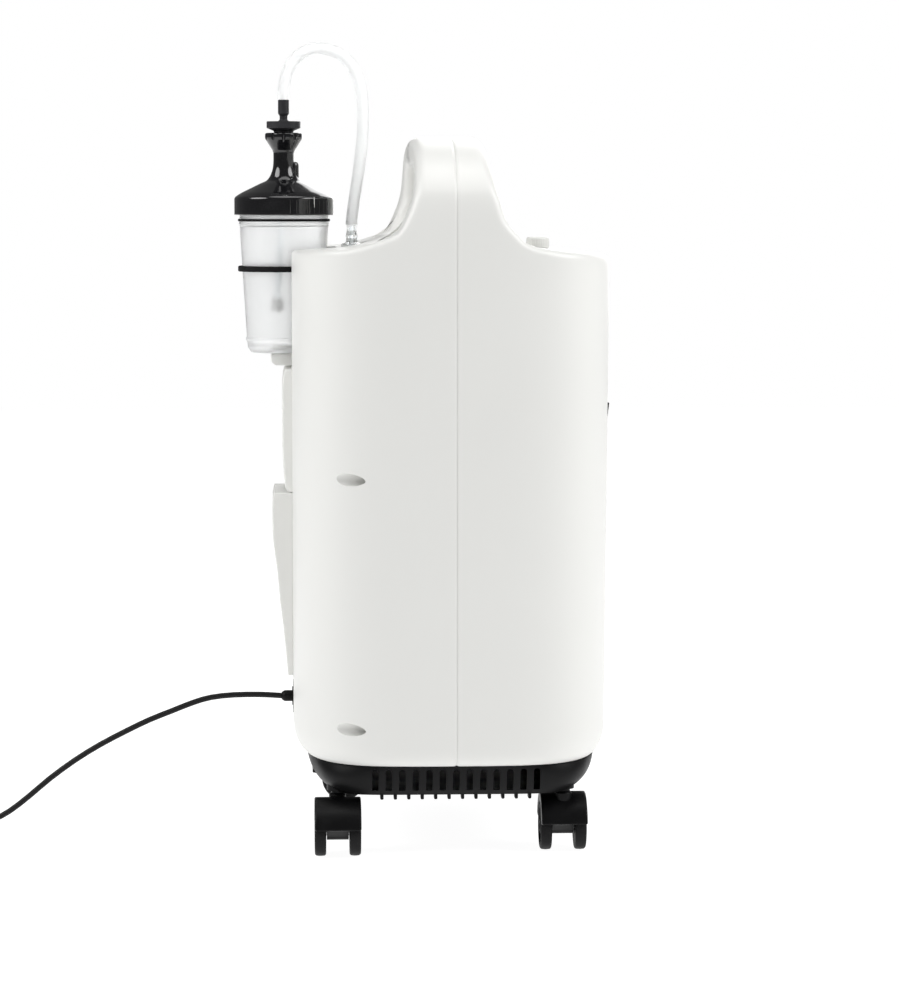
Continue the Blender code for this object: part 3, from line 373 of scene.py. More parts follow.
def shader(name, colour, roughness, fade=0.04, swing=0.06, patch=25, grain=0, depth=0.0, **sockets):
    """A Principled material whose colour and roughness drift over patches, with a fine moulded grain.

    patch and grain are how many features there are in a metre; depth is the grain's height in millimetres.
    """
    made = bpy.data.materials.new(name)
    made.use_nodes = True
    nodes, link = made.node_tree.nodes, made.node_tree.links.new
    surface = nodes["Principled BSDF"]
    for socket, value in sockets.items():
        surface.inputs[socket.replace("_", " ")].default_value = value
    place = nodes.new("ShaderNodeTexCoord")
    drift = nodes.new("ShaderNodeTexNoise")
    drift.inputs["Scale"].default_value = patch
    drift.inputs["Detail"].default_value = 5
    link(place.outputs["Object"], drift.inputs["Vector"])
    tint = nodes.new("ShaderNodeMix")
    tint.data_type = "RGBA"
    tint.inputs["A"].default_value = (*[c * (1 - fade) for c in colour], 1)
    tint.inputs["B"].default_value = (*[min(1, c * (1 + fade)) for c in colour], 1)
    link(drift.outputs["Fac"], tint.inputs["Factor"])
    link(tint.outputs["Result"], surface.inputs["Base Color"])
    gloss = nodes.new("ShaderNodeMapRange")
    gloss.inputs["From Min"].default_value, gloss.inputs["From Max"].default_value = 0.3, 0.7
    gloss.inputs["To Min"].default_value = max(0.0, roughness - swing)
    gloss.inputs["To Max"].default_value = roughness + swing
    link(drift.outputs["Fac"], gloss.inputs["Value"])
    link(gloss.outputs["Result"], surface.inputs["Roughness"])
    if grain:
        texture = nodes.new("ShaderNodeTexNoise")
        texture.inputs["Scale"].default_value = grain
        texture.inputs["Detail"].default_value = 3
        link(place.outputs["Object"], texture.inputs["Vector"])
        relief(made, texture.outputs["Fac"], depth)
    return made


def relief(made, height, depth):
    """Add a bump of that depth, in millimetres, on top of the material's present one."""
    nodes, link = made.node_tree.nodes, made.node_tree.links.new
    surface = nodes["Principled BSDF"]
    bump = nodes.new("ShaderNodeBump")
    bump.inputs["Strength"].default_value = 1
    bump.inputs["Distance"].default_value = depth * MM
    link(height, bump.inputs["Height"])
    if surface.inputs["Normal"].is_linked:
        link(surface.inputs["Normal"].links[0].from_socket, bump.inputs["Normal"])
    link(bump.outputs["Normal"], surface.inputs["Normal"])


def waves(made, axis, per_metre, depth):
    """Parallel ridges across an axis."""
    nodes, link = made.node_tree.nodes, made.node_tree.links.new
    wave = nodes.new("ShaderNodeTexWave")
    wave.bands_direction = axis
    wave.inputs["Scale"].default_value = per_metre / 20
    wave.inputs["Distortion"].default_value = 0.4
    link(nodes["Texture Coordinate"].outputs["Object"], wave.inputs["Vector"])
    relief(made, wave.outputs["Fac"], depth)


WHITE = shader("shell_white", (0.80, 0.80, 0.775), 0.40, 0.012, 0.05, 12, 1500, 0.02, Coat_Weight=0.08,
               Coat_Roughness=0.3)
BLACK = shader("black_plastic", (0.004, 0.004, 0.0043), 0.44, 0.25, 0.08, 40, 1800, 0.03,
               Specular_IOR_Level=0.16)
CASTER = shader("caster_black", (0.0035, 0.0035, 0.0038), 0.40, 0.25, 0.08, 60, 1500, 0.03,
                Specular_IOR_Level=0.16)
TREAD = shader("caster_tread", (0.005, 0.005, 0.0053), 0.58, 0.3, 0.1, 90, 1200, 0.06, Specular_IOR_Level=0.2)
GLOSS = shader("gloss_black", (0.005, 0.005, 0.006), 0.13, 0.3, 0.05, 60, 600, 0.006, Coat_Weight=0.5,
               Coat_Roughness=0.06)
GREY = shader("connector_grey", (0.022, 0.022, 0.025), 0.4, 0.15, 0.08, 80, 1500, 0.02,
              Specular_IOR_Level=0.3)
PALE = shader("pale_plastic", (0.55, 0.55, 0.54), 0.5, 0.05, 0.08, 90, 1500, 0.03)
PANEL = shader("panel_grey", (0.08, 0.08, 0.09), 0.42, 0.08, 0.06, 30, 1600, 0.03)
DISPLAY = shader("display_black", (0.006, 0.007, 0.009), 0.08, 0.2, 0.03, 50, 200, 0.003, Coat_Weight=0.6)
CLEAR = shader("clear_plastic", (0.93, 0.95, 0.96), 0.07, 0.02, 0.04, 60, 300, 0.01, Transmission_Weight=1.0,
               IOR=1.49)
BOTTLE = shader("bottle_clear", (0.98, 0.985, 0.985), 0.32, 0.008, 0.02, 12, 900, 0.008,
                Transmission_Weight=0.88, IOR=1.32)
HOSE = shader("hose_clear", (0.965, 0.97, 0.97), 0.42, 0.015, 0.06, 120, 700, 0.03, Transmission_Weight=0.72,
              IOR=1.34)
STRAP = shader("strap_rubber", (0.004, 0.004, 0.0042), 0.75, 0.3, 0.1, 200, 2500, 0.06,
               Specular_IOR_Level=0.2)
CORD = shader("cord_rubber", (0.006, 0.006, 0.0063), 0.5, 0.25, 0.08, 150, 2200, 0.04,
              Specular_IOR_Level=0.25)
FOAM = shader("foam", (0.03, 0.03, 0.033), 0.95, 0.4, 0.05, 400, 900, 0.9)
STEEL = shader("steel", (0.55, 0.55, 0.56), 0.3, 0.06, 0.1, 150, 1500, 0.02, Metallic=1.0)
ALLOY = shader("alloy", (0.66, 0.67, 0.69), 0.45, 0.08, 0.1, 60, 1100, 0.08, Metallic=1.0)
BOARD = shader("circuit_board", (0.02, 0.15, 0.06), 0.35, 0.3, 0.08, 700, 900, 0.1)
waves(STRAP, "Z", 1600, 0.25)
waves(STEEL, "X", 2500, 0.02)


# hose and cord --------

def humidifier_hose():
    """Clear hose from the barb on the shoulder up and over to the humidifier's nozzle."""
    path = smooth([(0, y, z) for y, z in HOSE_ROUTE], 6)
    hose = mesh_object("hose", sweep_mesh(path, HOSE_R, HOSE_BORE), HOSE)
    done(hose, None, "hose_clear", "humidifier_hose")
    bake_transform(hose)


def coil_path():
    """The cord's turns: four layers that spiral in and out, each laid on the one before."""
    steps_per_turn, spiral, rise = 48, 720, 70    # a layer spirals, then rises, over these degrees
    layer = spiral + rise
    path = []
    for i in range(1, int(COIL_TURNS * steps_per_turn) + 1):
        angle = 360 * i / steps_per_turn
        number, along = divmod(angle, layer)
        inward = min(along / spiral, 1)
        lift = max(along - spiral, 0) / rise
        if number % 2:
            inward = 1 - inward
        r = COIL_OUTER + (COIL_INNER - COIL_OUTER) * inward
        z = CORD_LIES_Z + COIL_PITCH * (number + lift * lift * (3 - 2 * lift))
        t = math.radians(180 - angle)
        path.append((COIL_X + r * math.cos(t), COIL_Y + r * math.sin(t), z))
    return path


def power_cord():
    """Mains cord: out of the strain relief, down to the floor, coiled, and into its plug."""
    route = smooth(CORD_ROUTE + [(0, 444, CORD_LIES_Z)], 2)
    turns = coil_path()
    y = turns[-1][1]
    middle = GAP + PLUG_HIGH / 2
    tail = PLUG_X - PLUG_TAIL
    end = smooth([turns[-1], (COIL_X + 9, y, turns[-1][2] - 1.6), (COIL_X + 20, y, middle + 2.2),
                  (tail, y, middle)], 3)
    path = route + [(0, COIL_Y, CORD_LIES_Z)] + turns + end[1:] + [(tail + 6, y, middle)]
    data = bpy.data.curves.new("mains_cord", "CURVE")
    data.dimensions = "3D"
    data.bevel_depth = CORD_R * MM
    data.bevel_resolution = 6
    data.use_fill_caps = True
    spline = data.splines.new("POLY")
    spline.points.add(len(path) - 1)
    for target, point in zip(spline.points, path):
        target.co = (*in_frame(*point), 1)
    spline.use_smooth = True
    cord = bpy.data.objects.new("mains_cord", data)
    bpy.context.collection.objects.link(cord)
    data.materials.append(CORD)
    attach(cord, "cabinet")
    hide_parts("power_cord", "power_cord_coil")

    body = rounded_rectangle(y - PLUG_HALF, GAP, y + PLUG_HALF, GAP + PLUG_HIGH, 4)
    plug = mesh_object("mains_plug", prism_mesh(body, "X", PLUG_X - 15, PLUG_X + PLUG_HALF), BLACK)
    for side in (-1, 1):
        for i in range(4):
            x, face = PLUG_X - 8 + 4 * i, y + side * PLUG_HALF
            cut(plug, box_mesh((x, face - 0.8, 4), (x + 1.6, face + 0.8, 14)), "EXACT")
    round_edges(plug, 0.6)
    ribs = []
    for i in range(25):
        ribs.append((3.1 + 2.4 * i / 24 - (0.5 if i % 4 in (2, 3) else 0), -PLUG_TAIL + i))
    fuse(plug, turned_mesh([(0, -PLUG_TAIL), *ribs, (0, -13)], (PLUG_X, y, middle), "X", 32), "EXACT")
    done(plug, "cabinet", "black_plastic", "power_plug")
    nose = PLUG_X + PLUG_HALF
    for dy, dz in ((-6.3, 4), (6.3, 4), (0, -4)):
        low = nose - 2, y + dy - BLADE_THICK / 2, middle + dz - BLADE_WIDE / 2
        high = nose + BLADE_LONG, y + dy + BLADE_THICK / 2, middle + dz + BLADE_WIDE / 2
        blade = mesh_object("plug_blade", box_mesh(low, high), STEEL)
        round_edges(blade, 0.35, 2)
        done(blade, "cabinet", "steel")


def strain_relief():
    """Short smooth boot on the mains cord and the block it comes out of."""
    cord_y, cord_z = CORD_ROUTE[0][1:]
    block = rounded_rectangle(-12, cord_z - 7, 12, cord_z + 7, 2)
    boot = mesh_object("strain_relief", prism_mesh(block, "Y", RECESS_Y + 3, REAR + 0.5), BLACK)
    round_edges(boot, 0.6)
    sleeve = [(0, REAR - 2), (4.9, REAR - 2), (4.9, cord_y - 2), (3.2, cord_y + 0.6), (0, cord_y + 0.6)]
    fuse(boot, turned_mesh(softened(sleeve, 1.2), (0, 0, cord_z), "Y", 48), "EXACT")
    done(boot, "cabinet", "black_plastic", "cord_connector")


# shells --------

def front_at(z):
    """Distance from the seam to the front face at a height."""
    return FRONT + LEAN * (z - RIM_Z)


def shoulder_outline(inset=0.0):
    """The shells' top edge seen from the side. The handle's columns run on up, where the arch ends them."""
    front = smooth([(-131, 505), (-108, 507), (-79, 510), (-60, 514.5), (-50, 523), (-41, 534), (-35.5, 550),
                    (-29.5, 575), (-26.5, 598)], 4)
    rear = smooth([(33, 594), (33.2, 570), (36, 550), (46, 527), (55, 520), (70, 515), (88, 511), (104, 510),
                   (132, 508.5)], 4)
    outline = [(-160, 505), *front, (-25, 625), (33, 625), *rear, (160, 508), (160, OUTLINE_FOOT_Z),
               (-160, OUTLINE_FOOT_Z)][::-1]
    if not inset:
        return outline
    points = [Vector(p) for p in outline]
    shrunk = []
    for before, here, after in zip(points[-1:] + points, points, points[1:] + points[:1]):
        ahead, behind = (after - here).normalized(), (here - before).normalized()
        normal = Vector((-ahead.y - behind.y, ahead.x + behind.x)).normalized()
        shrunk.append(tuple(here + normal * inset / max(0.5, normal.dot(Vector((-ahead.y, ahead.x))))))
    return shrunk


def body_block(inset, bottom):
    """A plain block of the shells' outer shape, or of the hollow inside them."""
    levels = [(bottom, RIM_INSET)] if inset else []
    for i in range(6):
        rise = RIM_RISE * i / 5
        levels.append((RIM_Z + rise, RIM_INSET * (1 - math.sqrt(1 - (1 - rise / RIM_RISE) ** 2))))
    levels.append((640, 0))
    sections = []
    for z, rim in levels:
        shrink = rim + inset
        outline = superellipse(HALF_WIDTH - shrink, REAR - shrink, front_at(z) - shrink, PLAN_POWER, 64)
        sections.append([(x, y, z) for x, y in outline])
    block = mesh_object("block", loft_mesh(sections))
    low = bottom - 20
    side = [(y, z if z > OUTLINE_FOOT_Z + 1 + inset else low) for y, z in shoulder_outline(inset)]
    keep(block, prism_mesh(side, "X", -PAST_SIDES, PAST_SIDES))
    half = []
    for i in range(33):
        t = math.pi / 2 * i / 32
        x = (HALF_WIDTH + 4 - inset) * math.cos(t) ** (2 / ARCH_POWER)
        half.append((x, ARCH_Z + (ARCH_RISE - inset) * math.sin(t) ** (2 / ARCH_POWER)))
    arch = [(HALF_WIDTH + 10, low), (HALF_WIDTH + 10, ARCH_Z - 8), *half, *[(-x, z) for x, z in half[-2::-1]],
            (-HALF_WIDTH - 10, ARCH_Z - 8), (-HALF_WIDTH - 10, low)]
    keep(block, prism_mesh(arch, "Y", -PAST_FACES, PAST_FACES))
    grip = rounded_rectangle(-GRIP_X - inset, GRIP_LOW - inset, GRIP_X + inset, GRIP_HIGH + inset,
                             GRIP_ROUND + inset)
    cut(block, prism_mesh(grip, "Y", -120, 120), "EXACT")
    return block


def outside_outline(outline, u, v):
    """Distance outside a closed outline, negative within it."""
    nearest, inside = np.full(u.shape, 1e9), np.zeros(u.shape, bool)
    for (au, av), (bu, bv) in zip(outline, outline[1:] + outline[:1]):
        du, dv = bu - au, bv - av
        t = np.clip(((u - au) * du + (v - av) * dv) / (du * du + dv * dv), 0, 1)
        nearest = np.minimum(nearest, (u - au - t * du) ** 2 + (v - av - t * dv) ** 2)
        crossed = (av > v) != (bv > v)
        inside ^= crossed & (u < au + (v - av) * du / (dv or 1e-9))
    return np.where(inside, -1, 1) * np.sqrt(nearest)


def outside_superellipse(u, v, a, b, power):
    """Distance outside a squared oval, true close to it."""
    u, v = np.abs(u) / a + 1e-6, np.abs(v) / b + 1e-6
    size = (u ** power + v ** power) ** (1 / power)
    slope = np.hypot(u ** (power - 1) / a, v ** (power - 1) / b) * size ** (1 - power)
    return (size - 1) / slope


def both(a, b, r):
    """Inside both shapes, with a round of radius r where they meet."""
    return np.hypot(np.maximum(a + r, 0), np.maximum(b + r, 0)) - r + np.minimum(np.maximum(a, b) + r, 0)


def outside_shells(p, outline):
    """Distance outside the shells' finished surface, with every edge rounded."""
    x, y, z = p.T
    plan = outside_superellipse(x, y, HALF_WIDTH, np.where(y > 0, REAR, front_at(z)), PLAN_POWER)
    under, over = (plan + RIM_INSET) / RIM_INSET, (RIM_Z + RIM_RISE - z) / RIM_RISE
    size = np.hypot(under, over) + 1e-9
    rim = (size - 1) * size / np.hypot(under / RIM_INSET, over / RIM_RISE)
    body = np.where((under > 0) & (over > 0), rim, np.maximum(plan, RIM_Z - z))
    arch = outside_superellipse(x, np.maximum(z - ARCH_Z, 0), HALF_WIDTH + 4, ARCH_RISE, ARCH_POWER)
    body = both(body, arch, ARCH_EDGE_R)
    top = np.full(len(p), -40.0)
    high = z > 465
    top[high] = outside_outline(outline, y[high], z[high])
    up_handle = np.clip((z - HANDLE_BLEND_Z) / HANDLE_BLEND_RISE, 0, 1)
    corner = SHOULDER_R - 0.8 * np.clip(y / 60, -1, 1)
    body = both(body, top, corner + (HANDLE_R - corner) * up_handle * up_handle * (3 - 2 * up_handle))
    u = np.abs(x) - GRIP_X + GRIP_ROUND
    v = np.abs(z - (GRIP_LOW + GRIP_HIGH) / 2) - (GRIP_HIGH - GRIP_LOW) / 2 + GRIP_ROUND
    grip = np.hypot(np.maximum(u, 0), np.maximum(v, 0)) + np.minimum(np.maximum(u, v), 0) - GRIP_ROUND
    up_grip = np.clip((z - GRIP_BLEND_Z) / GRIP_BLEND_RISE, 0, 1)
    return both(body, -grip, GRIP_EDGE_R + (GRIP_EDGE_TOP_R - GRIP_EDGE_R) * up_grip)


def settle(p, outline, rounds):
    """Move points onto the shells' surface. Returns them and the slope there."""
    step, longest_move = 0.02, 3
    for _ in range(rounds):
        off = outside_shells(p, outline)
        slope = np.stack([(outside_shells(p + step * axis, outline) - off) / step for axis in np.eye(3)], 1)
        size = np.maximum((slope ** 2).sum(1), 0.05)
        p = p - np.clip(off / size, -longest_move, longest_move)[:, None] * slope
    return p, slope


def points_of(mesh):
    """The mesh's points in millimetres from the seam."""
    co = np.empty(len(mesh.vertices) * 3)
    mesh.vertices.foreach_get("co", co)
    return (co.reshape(-1, 3) - np.array([0, SEAM, 0])) / MM


def set_points(mesh, p):
    mesh.vertices.foreach_set("co", (p * MM + np.array([0, SEAM, 0])).ravel())
    mesh.update()


def shell_skin():
    """The closed skin of both shells, with a shallow groove along the seam."""
    skin = body_block(0, RIM_Z)
    step = skin.modifiers.new("even", "REMESH")
    step.mode, step.voxel_size = "VOXEL", SKIN_CELL * MM
    bake(skin)
    outline = shoulder_outline()
    p, _ = settle(points_of(skin.data), outline, 5)
    edges = np.empty(len(skin.data.edges) * 2, int)
    skin.data.edges.foreach_get("vertices", edges)
    a, b = edges.reshape(-1, 2).T
    count = np.bincount(a, minlength=len(p)) + np.bincount(b, minlength=len(p))
    for _ in range(4):
        around = [np.bincount(a, p[b, k], len(p)) + np.bincount(b, p[a, k], len(p)) for k in range(3)]
        p, _ = settle(0.5 * p + 0.5 * np.stack(around, 1) / count[:, None], outline, 2)
    set_points(skin.data, p)
    bm = bmesh.new()
    bm.from_mesh(skin.data)
    for y in (-GROOVE_HALF, -1.6, -0.9, -0.3, 0.3, 0.9, 1.6, GROOVE_HALF):
        bmesh.ops.bisect_plane(bm, geom=bm.verts[:] + bm.edges[:] + bm.faces[:], plane_co=in_frame(0, y, 0),
                               plane_no=(0, 1, 0), dist=1e-6)
    bm.to_mesh(skin.data)
    bm.free()
    p, slope = settle(points_of(skin.data), outline, 1)
    depth = GROOVE_DEPTH * np.clip(1 - np.abs(p[:, 1]) / GROOVE_HALF, 0, 1) ** 2
    set_points(skin.data, p - depth[:, None] * slope / (np.linalg.norm(slope, axis=1)[:, None] + 1e-9))
    return skin


def pocket(shell, hollow, low, high, r=2):
    """A recess in the front or rear face, with rounded corners and a wall kept round it."""
    outline = rounded_rectangle(low[0], low[2], high[0], high[2], r)
    cut(shell, prism_mesh(outline, "Y", low[1], high[1]))
    cut(hollow, box_mesh([v - WALL for v in low], [v + WALL for v in high]))


def seat(shell, hollow, y, z, r):
    """A round flat seat in a shoulder, with a chamfered mouth."""
    cut(shell, turned_mesh([(0, z), (r, z), (r, z + 1.2), (r + 3, z + 4.2), (r + 3, z + 30), (0, z + 30)],
                           (0, y, 0), "Z", 64))
    cut(hollow, cylinder_mesh(r + WALL, z - WALL, z + 30, (0, y, 0)))


def shells():
    """Front and rear shell: one skin parted at the seam, with a hollow inside."""
    skin, hollow = shell_skin(), body_block(WALL, RIM_Z - 15)
    cut(hollow, box_mesh((-PAST_SIDES, -60, HANDLE_FOOT_Z), (PAST_SIDES, 70, PAST_TOP)))
    for side, name in ((-1, "front_shell"), (1, "rear_shell")):
        shell, inside = skin.copy(), hollow.copy()
        shell.data, inside.data = skin.data.copy(), hollow.data.copy()
        bpy.context.collection.objects.link(shell)
        bpy.context.collection.objects.link(inside)
        shell.name = f"{name}_skin"
        shell.data.materials.append(WHITE)
        low, high = sorted((side * SEAM_HALF_GAP, -200 * side))
        cut(shell, box_mesh((-PAST_SIDES, low, 40), (PAST_SIDES, high, PAST_TOP)))
        if side < 0:
            pocket(shell, inside, (-PANEL_X, -150, PANEL_LOW), (PANEL_X, PANEL_Y, PANEL_TOP), 2.5)
            seat(shell, inside, KNOB_Y, KNOB_SEAT_Z, KNOB_R + 1)
        else:
            rear_face(shell, inside)
        cut(shell, inside)
        done(shell, "cabinet", "shell_white", name)
    for used in (skin, hollow):
        bpy.data.objects.remove(used)


def bore_mesh(x, z, low, grow):
    """An oval bore that runs down towards the front from its mouth."""
    sections = []
    for y in (low, 150):
        loop = ellipse(x, z + BORE_TILT * (y - BORE_MOUTH_Y), BORE_WIDE + grow, BORE_HIGH + grow)
        sections.append([(u, y, v) for u, v in loop])
    return loft_mesh(sections)


def rear_face(shell, inside):
    """The bowed panel, the humidifier's niche, the filter bay, the cord's recess and the screw bores."""
    bow = softened([(124, DOOR_TOP + 0.5), (BULGE_FOOT_Y - 3, DOOR_TOP + 0.5), (BULGE_FOOT_Y, DOOR_TOP + 4),
                    (BULGE_FOOT_Y + 1.4, 318), (BULGE_Y, BULGE_FULL_Z), (BULGE_Y, 390), (BULGE_Y - 0.8, 399),
                    (BULGE_Y - 2.6, NICHE_Z - 1.8), (124, NICHE_Z - 1.8)], 2.5)
    bulge = mesh_object("bulge", prism_mesh(bow, "X", -BULGE_X, BULGE_X))
    round_edges(bulge, 1.6, 4)
    fuse(shell, bulge)
    niche = (arc(NICHE_X - 6, NICHE_Y + 6, 6, 270, 360, 8)
             + [(NICHE_X, REAR - 1.8), (NICHE_X + 1.6, REAR - 0.1), (NICHE_X + 1.6, PAST_REAR)])
    niche += [(-x, y) for x, y in niche[::-1]]
    cut(shell, prism_mesh(niche, "Z", NICHE_Z, 560))
    cut(inside, box_mesh((-NICHE_X - WALL, NICHE_Y - WALL, NICHE_Z - WALL), (NICHE_X + WALL, 180, 570)))
    pocket(shell, inside, (-FOAM_X, FOAM_Y, FOAM_LOW), (FOAM_X, PAST_REAR, FOAM_TOP))
    pocket(shell, inside, (-RECESS_X, RECESS_Y, 50), (RECESS_X, PAST_REAR, RECESS_TOP), 7)
    edge = BULGE_X + 0.4
    cut(shell, box_mesh((-edge, REBATE_Y, RECESS_TOP - 5), (edge, PAST_REAR, DOOR_TOP + 0.3)))
    cut(inside, box_mesh((-edge - WALL, REBATE_Y - WALL, RECESS_TOP - 5), (edge + WALL, 180, DOOR_TOP + 4)))
    cut(shell, box_mesh((-20, 100, 200), (20, 130, 240)))
    seat(shell, inside, NIPPLE_Y, NIPPLE_SEAT_Z, 10)
    for x in (-BORE_X, BORE_X):
        for z in BORE_ZS:
            cut(shell, bore_mesh(x, z, BORE_END_Y, 0))
            cut(inside, bore_mesh(x, z, BORE_END_Y - WALL, WALL))


# tray and casters --------

def tray_section(z, wall=0.0):
    """The tray's outline at a height, or its hollow's outline if it is given the wall."""
    depth = (RIM_Z - z) / (RIM_Z - TRAY_LOW)
    inset = RIM_INSET - 1 + 10 * depth + 12.5 * depth ** 3 + wall
    half_width = HALF_WIDTH - RIM_INSET - 0.45 * (inset - RIM_INSET) - 0.55 * wall
    outline = superellipse(half_width, REAR - inset + 3.6 * depth, FRONT - inset + 1.9, 4 + 3 * depth, 160)
    return [(x, y, z) for x, y in outline]


def base_tray():
    """Dark base whose sides have round-topped air slots, with ribs between them that reach below its edge."""
    levels = [TRAY_LOW + (RIM_Z - GAP - TRAY_LOW) * i / 10 for i in range(11)]
    tray = mesh_object("tray", loft_mesh([tray_section(z) for z in levels]), BLACK)
    inner = [TRAY_LOW + TRAY_WALL + (RIM_Z + 5 - TRAY_LOW) * i / 6 for i in range(7)]
    hollow = [tray_section(min(z, RIM_Z), TRAY_WALL) for z in inner]
    cut(tray, loft_mesh([[(x, y, z) for x, y, _ in loop] for loop, z in zip(hollow, inner)]))
    edge = max(x for x, _, _ in tray_section(TRAY_LOW))
    r = SLOT_WIDTH / 2
    first = -SLOT_PITCH * (SLOTS - 1) / 2
    for side in (-1, 1):
        for i in range(SLOTS - 1):
            y = first + SLOT_PITCH * (i + 0.5)
            rib = mesh_object("rib", box_mesh((edge - RIB_DEPTH, y - RIB_WIDTH / 2, RIB_LOW),
                                              (edge + 0.6, y + RIB_WIDTH / 2, 60)))
            if side < 0:
                rib.scale.x = -1
                rib.data.transform(rib.matrix_basis)
                rib.data.flip_normals()
                rib.scale.x = 1
            round_edges(rib, 0.9)
            fuse(tray, rib)
        for i in range(SLOTS):
            y = first + SLOT_PITCH * i
            slot = [(y + r, SLOT_LOW), *arc(y, SLOT_TOP - r, r, 0, 180, 12), (y - r, SLOT_LOW)]
            low, high = sorted((side * 120, side * 200))
            cut(tray, prism_mesh(slot, "X", low, high))
    for x in (-STEM_X, STEM_X):
        for y in (STEM_REAR_Y, STEM_FRONT_Y):
            fuse(tray, cylinder_mesh(BOSS_R, TRAY_LOW + 0.5, BOSS_TOP, (x, y, 0)))
            cut(tray, cylinder_mesh(STEM_R + 0.5, 40, 80, (x, y, 0)))
    done(tray, "cabinet", "black_plastic", "base_tray")


def caster(name, x, y, trail, turn=0):
    """Twin-wheel caster: hood with a web between the wheels, and two wheels with recessed hubs.

    The axle trails the stem along X; then all of it swivels by the turn, in degrees.
    """
    ax = x + trail
    stem_at = Matrix.Translation((x, y, 0))
    swivel = stem_at @ Matrix.Rotation(math.radians(turn), 4, "Z") @ stem_at.inverted()

    def turned(bm):
        bmesh.ops.transform(bm, verts=bm.verts, matrix=swivel)
        return bm

    half = WHEEL_GAP / 2 - GAP
    reach = WHEEL_GAP / 2 + WHEEL_WIDTH
    inner_r, top = WHEEL_R + 1.2, WHEEL_R + HOOD_R
    web = [(u + ax, v + WHEEL_R) for u, v in
           arc(0, 0, 6.5, 205, 335, 10) + [(17, 6)] + arc(0, 0, inner_r + 1, 22, 158, 24) + [(-17, 6)]]
    hood = mesh_object(name + "_fork", turned(prism_mesh(web, "Y", y - half, y + half)), CASTER)
    fender = [(u + ax, v + WHEEL_R)
              for u, v in arc(0, 0, HOOD_R, 12, 168, 40) + arc(0, 0, inner_r, 168, 12, 40)]
    shield = mesh_object("shield", turned(prism_mesh(fender, "Y", y - reach, y + reach)))
    round_edges(shield, 1.8, 4, 50)
    fuse(hood, shield, "EXACT")
    round_edges(hood, 0.5, 2, 50)
    stem = softened([(0, top - 6), (STEM_R + 1.6, top - 6), (STEM_R + 1.6, top + 1), (STEM_R, top + 2.6),
                     (STEM_R, STEM_TOP), (0, STEM_TOP)], 0.5)
    fuse(hood, turned_mesh(stem, (x, y, 0), "Z", 48), "EXACT")
    cut(hood, turned(cylinder_mesh(AXLE_R + 0.2, -30, 30, (ax, y, WHEEL_R), "Y")), "EXACT")
    done(hood, name, "caster_black", name + "_hood")
    r, w, bore = WHEEL_R, WHEEL_WIDTH, AXLE_R + 0.1
    for label, sign in (("front", -1), ("rear", 1)):
        start = sign * WHEEL_GAP / 2
        profile = [(bore, 0.4), (r - 1.5, 0.4), (r - 0.3, 1.4), (r, w / 2), (r - 0.3, w - 1.4),
                   (r - 1.5, w - 0.1), (r - 3.6, w), (r - 4.3, w - 1.7), (7.2, w - 2.2), (6.4, w - 0.6),
                   (4.6, w), (bore, w)]
        profile = softened(profile, 0.9, 4)
        wheel = turned_mesh([(a, start + sign * h) for a, h in profile], (ax, y, WHEEL_R), "Y", 72)
        obj = mesh_object(f"{name}_tyre_{label}", turned(wheel), TREAD)
        for i in range(HUB_HOLES):
            t = math.radians(360 / HUB_HOLES * i)
            a, b = ax + HUB_HOLES_R * math.cos(t), WHEEL_R + HUB_HOLES_R * math.sin(t)
            low, high = sorted((y + start + sign * (w - 3.2), y + start + sign * (w + 1)))
            cut(obj, turned(cylinder_mesh(HUB_HOLE_R, low, high, (a, 0, b), "Y", 24)), "EXACT")
        done(obj, f"{name}_wheel_{label}", "caster_tread", f"{name}_wheel_{label}")


# rear pieces --------

def filter_door():
    """Wedge-shaped louvred cover, hinged along its lower edge."""
    outer = smooth([(140.2, DOOR_LOW), (142, 160), (144.6, 186), (147.2, 208), (149.3, 232), (151.8, 250),
                    (153, 266), (153.1, 290), (151.5, DOOR_TOP)], 6)
    outline = [(DOOR_INNER_Y, DOOR_TOP), (DOOR_INNER_Y, DOOR_LOW + 1), (DOOR_INNER_Y + 0.8, DOOR_LOW),
               *outer]
    door = mesh_object("filter_cover", prism_mesh(outline, "X", -BULGE_X, BULGE_X), WHITE)
    round_edges(door, 1.4, 4, 50)
    hollow = rounded_rectangle(4 - FOAM_X, 218, FOAM_X - 4, FOAM_TOP - 4, 3)
    cut(door, prism_mesh(hollow, "Y", 128, 146), "EXACT")
    for i in range(LOUVRES):
        z = LOUVRE_LOW + LOUVRE_PITCH * i
        louvre = rounded_rectangle(-LOUVRE_X, z, LOUVRE_X, z + LOUVRE_HIGH, 1.9)
        cut(door, prism_mesh(louvre, "Y", 140, 160), "EXACT")
    catch = rounded_rectangle(-CATCH_X, CATCH_LOW, CATCH_X, CATCH_TOP, 2.5)
    cut(door, prism_mesh(catch, "Y", 149.5, 160), "EXACT")
    done(door, "door", "shell_white", "filter_door")


def bottle_shelf():
    """Ledge that the bottle stands on, rounded under its free edge."""
    low, high, rear = NICHE_Z + GAP, JAR_LOW - GAP, 154
    shelf = [(NICHE_Y + GAP, low), *arc(rear - 6, low + 6, 6, -90, 0, 12),
             *arc(rear - 2, high - 2, 2, 0, 90, 6), (NICHE_Y + GAP, high)]
    obj = mesh_object("shelf", prism_mesh(shelf, "X", -24, 24), WHITE)
    round_edges(obj, 1.1, 4)
    done(obj, "cabinet", "shell_white", "bottle_shelf")


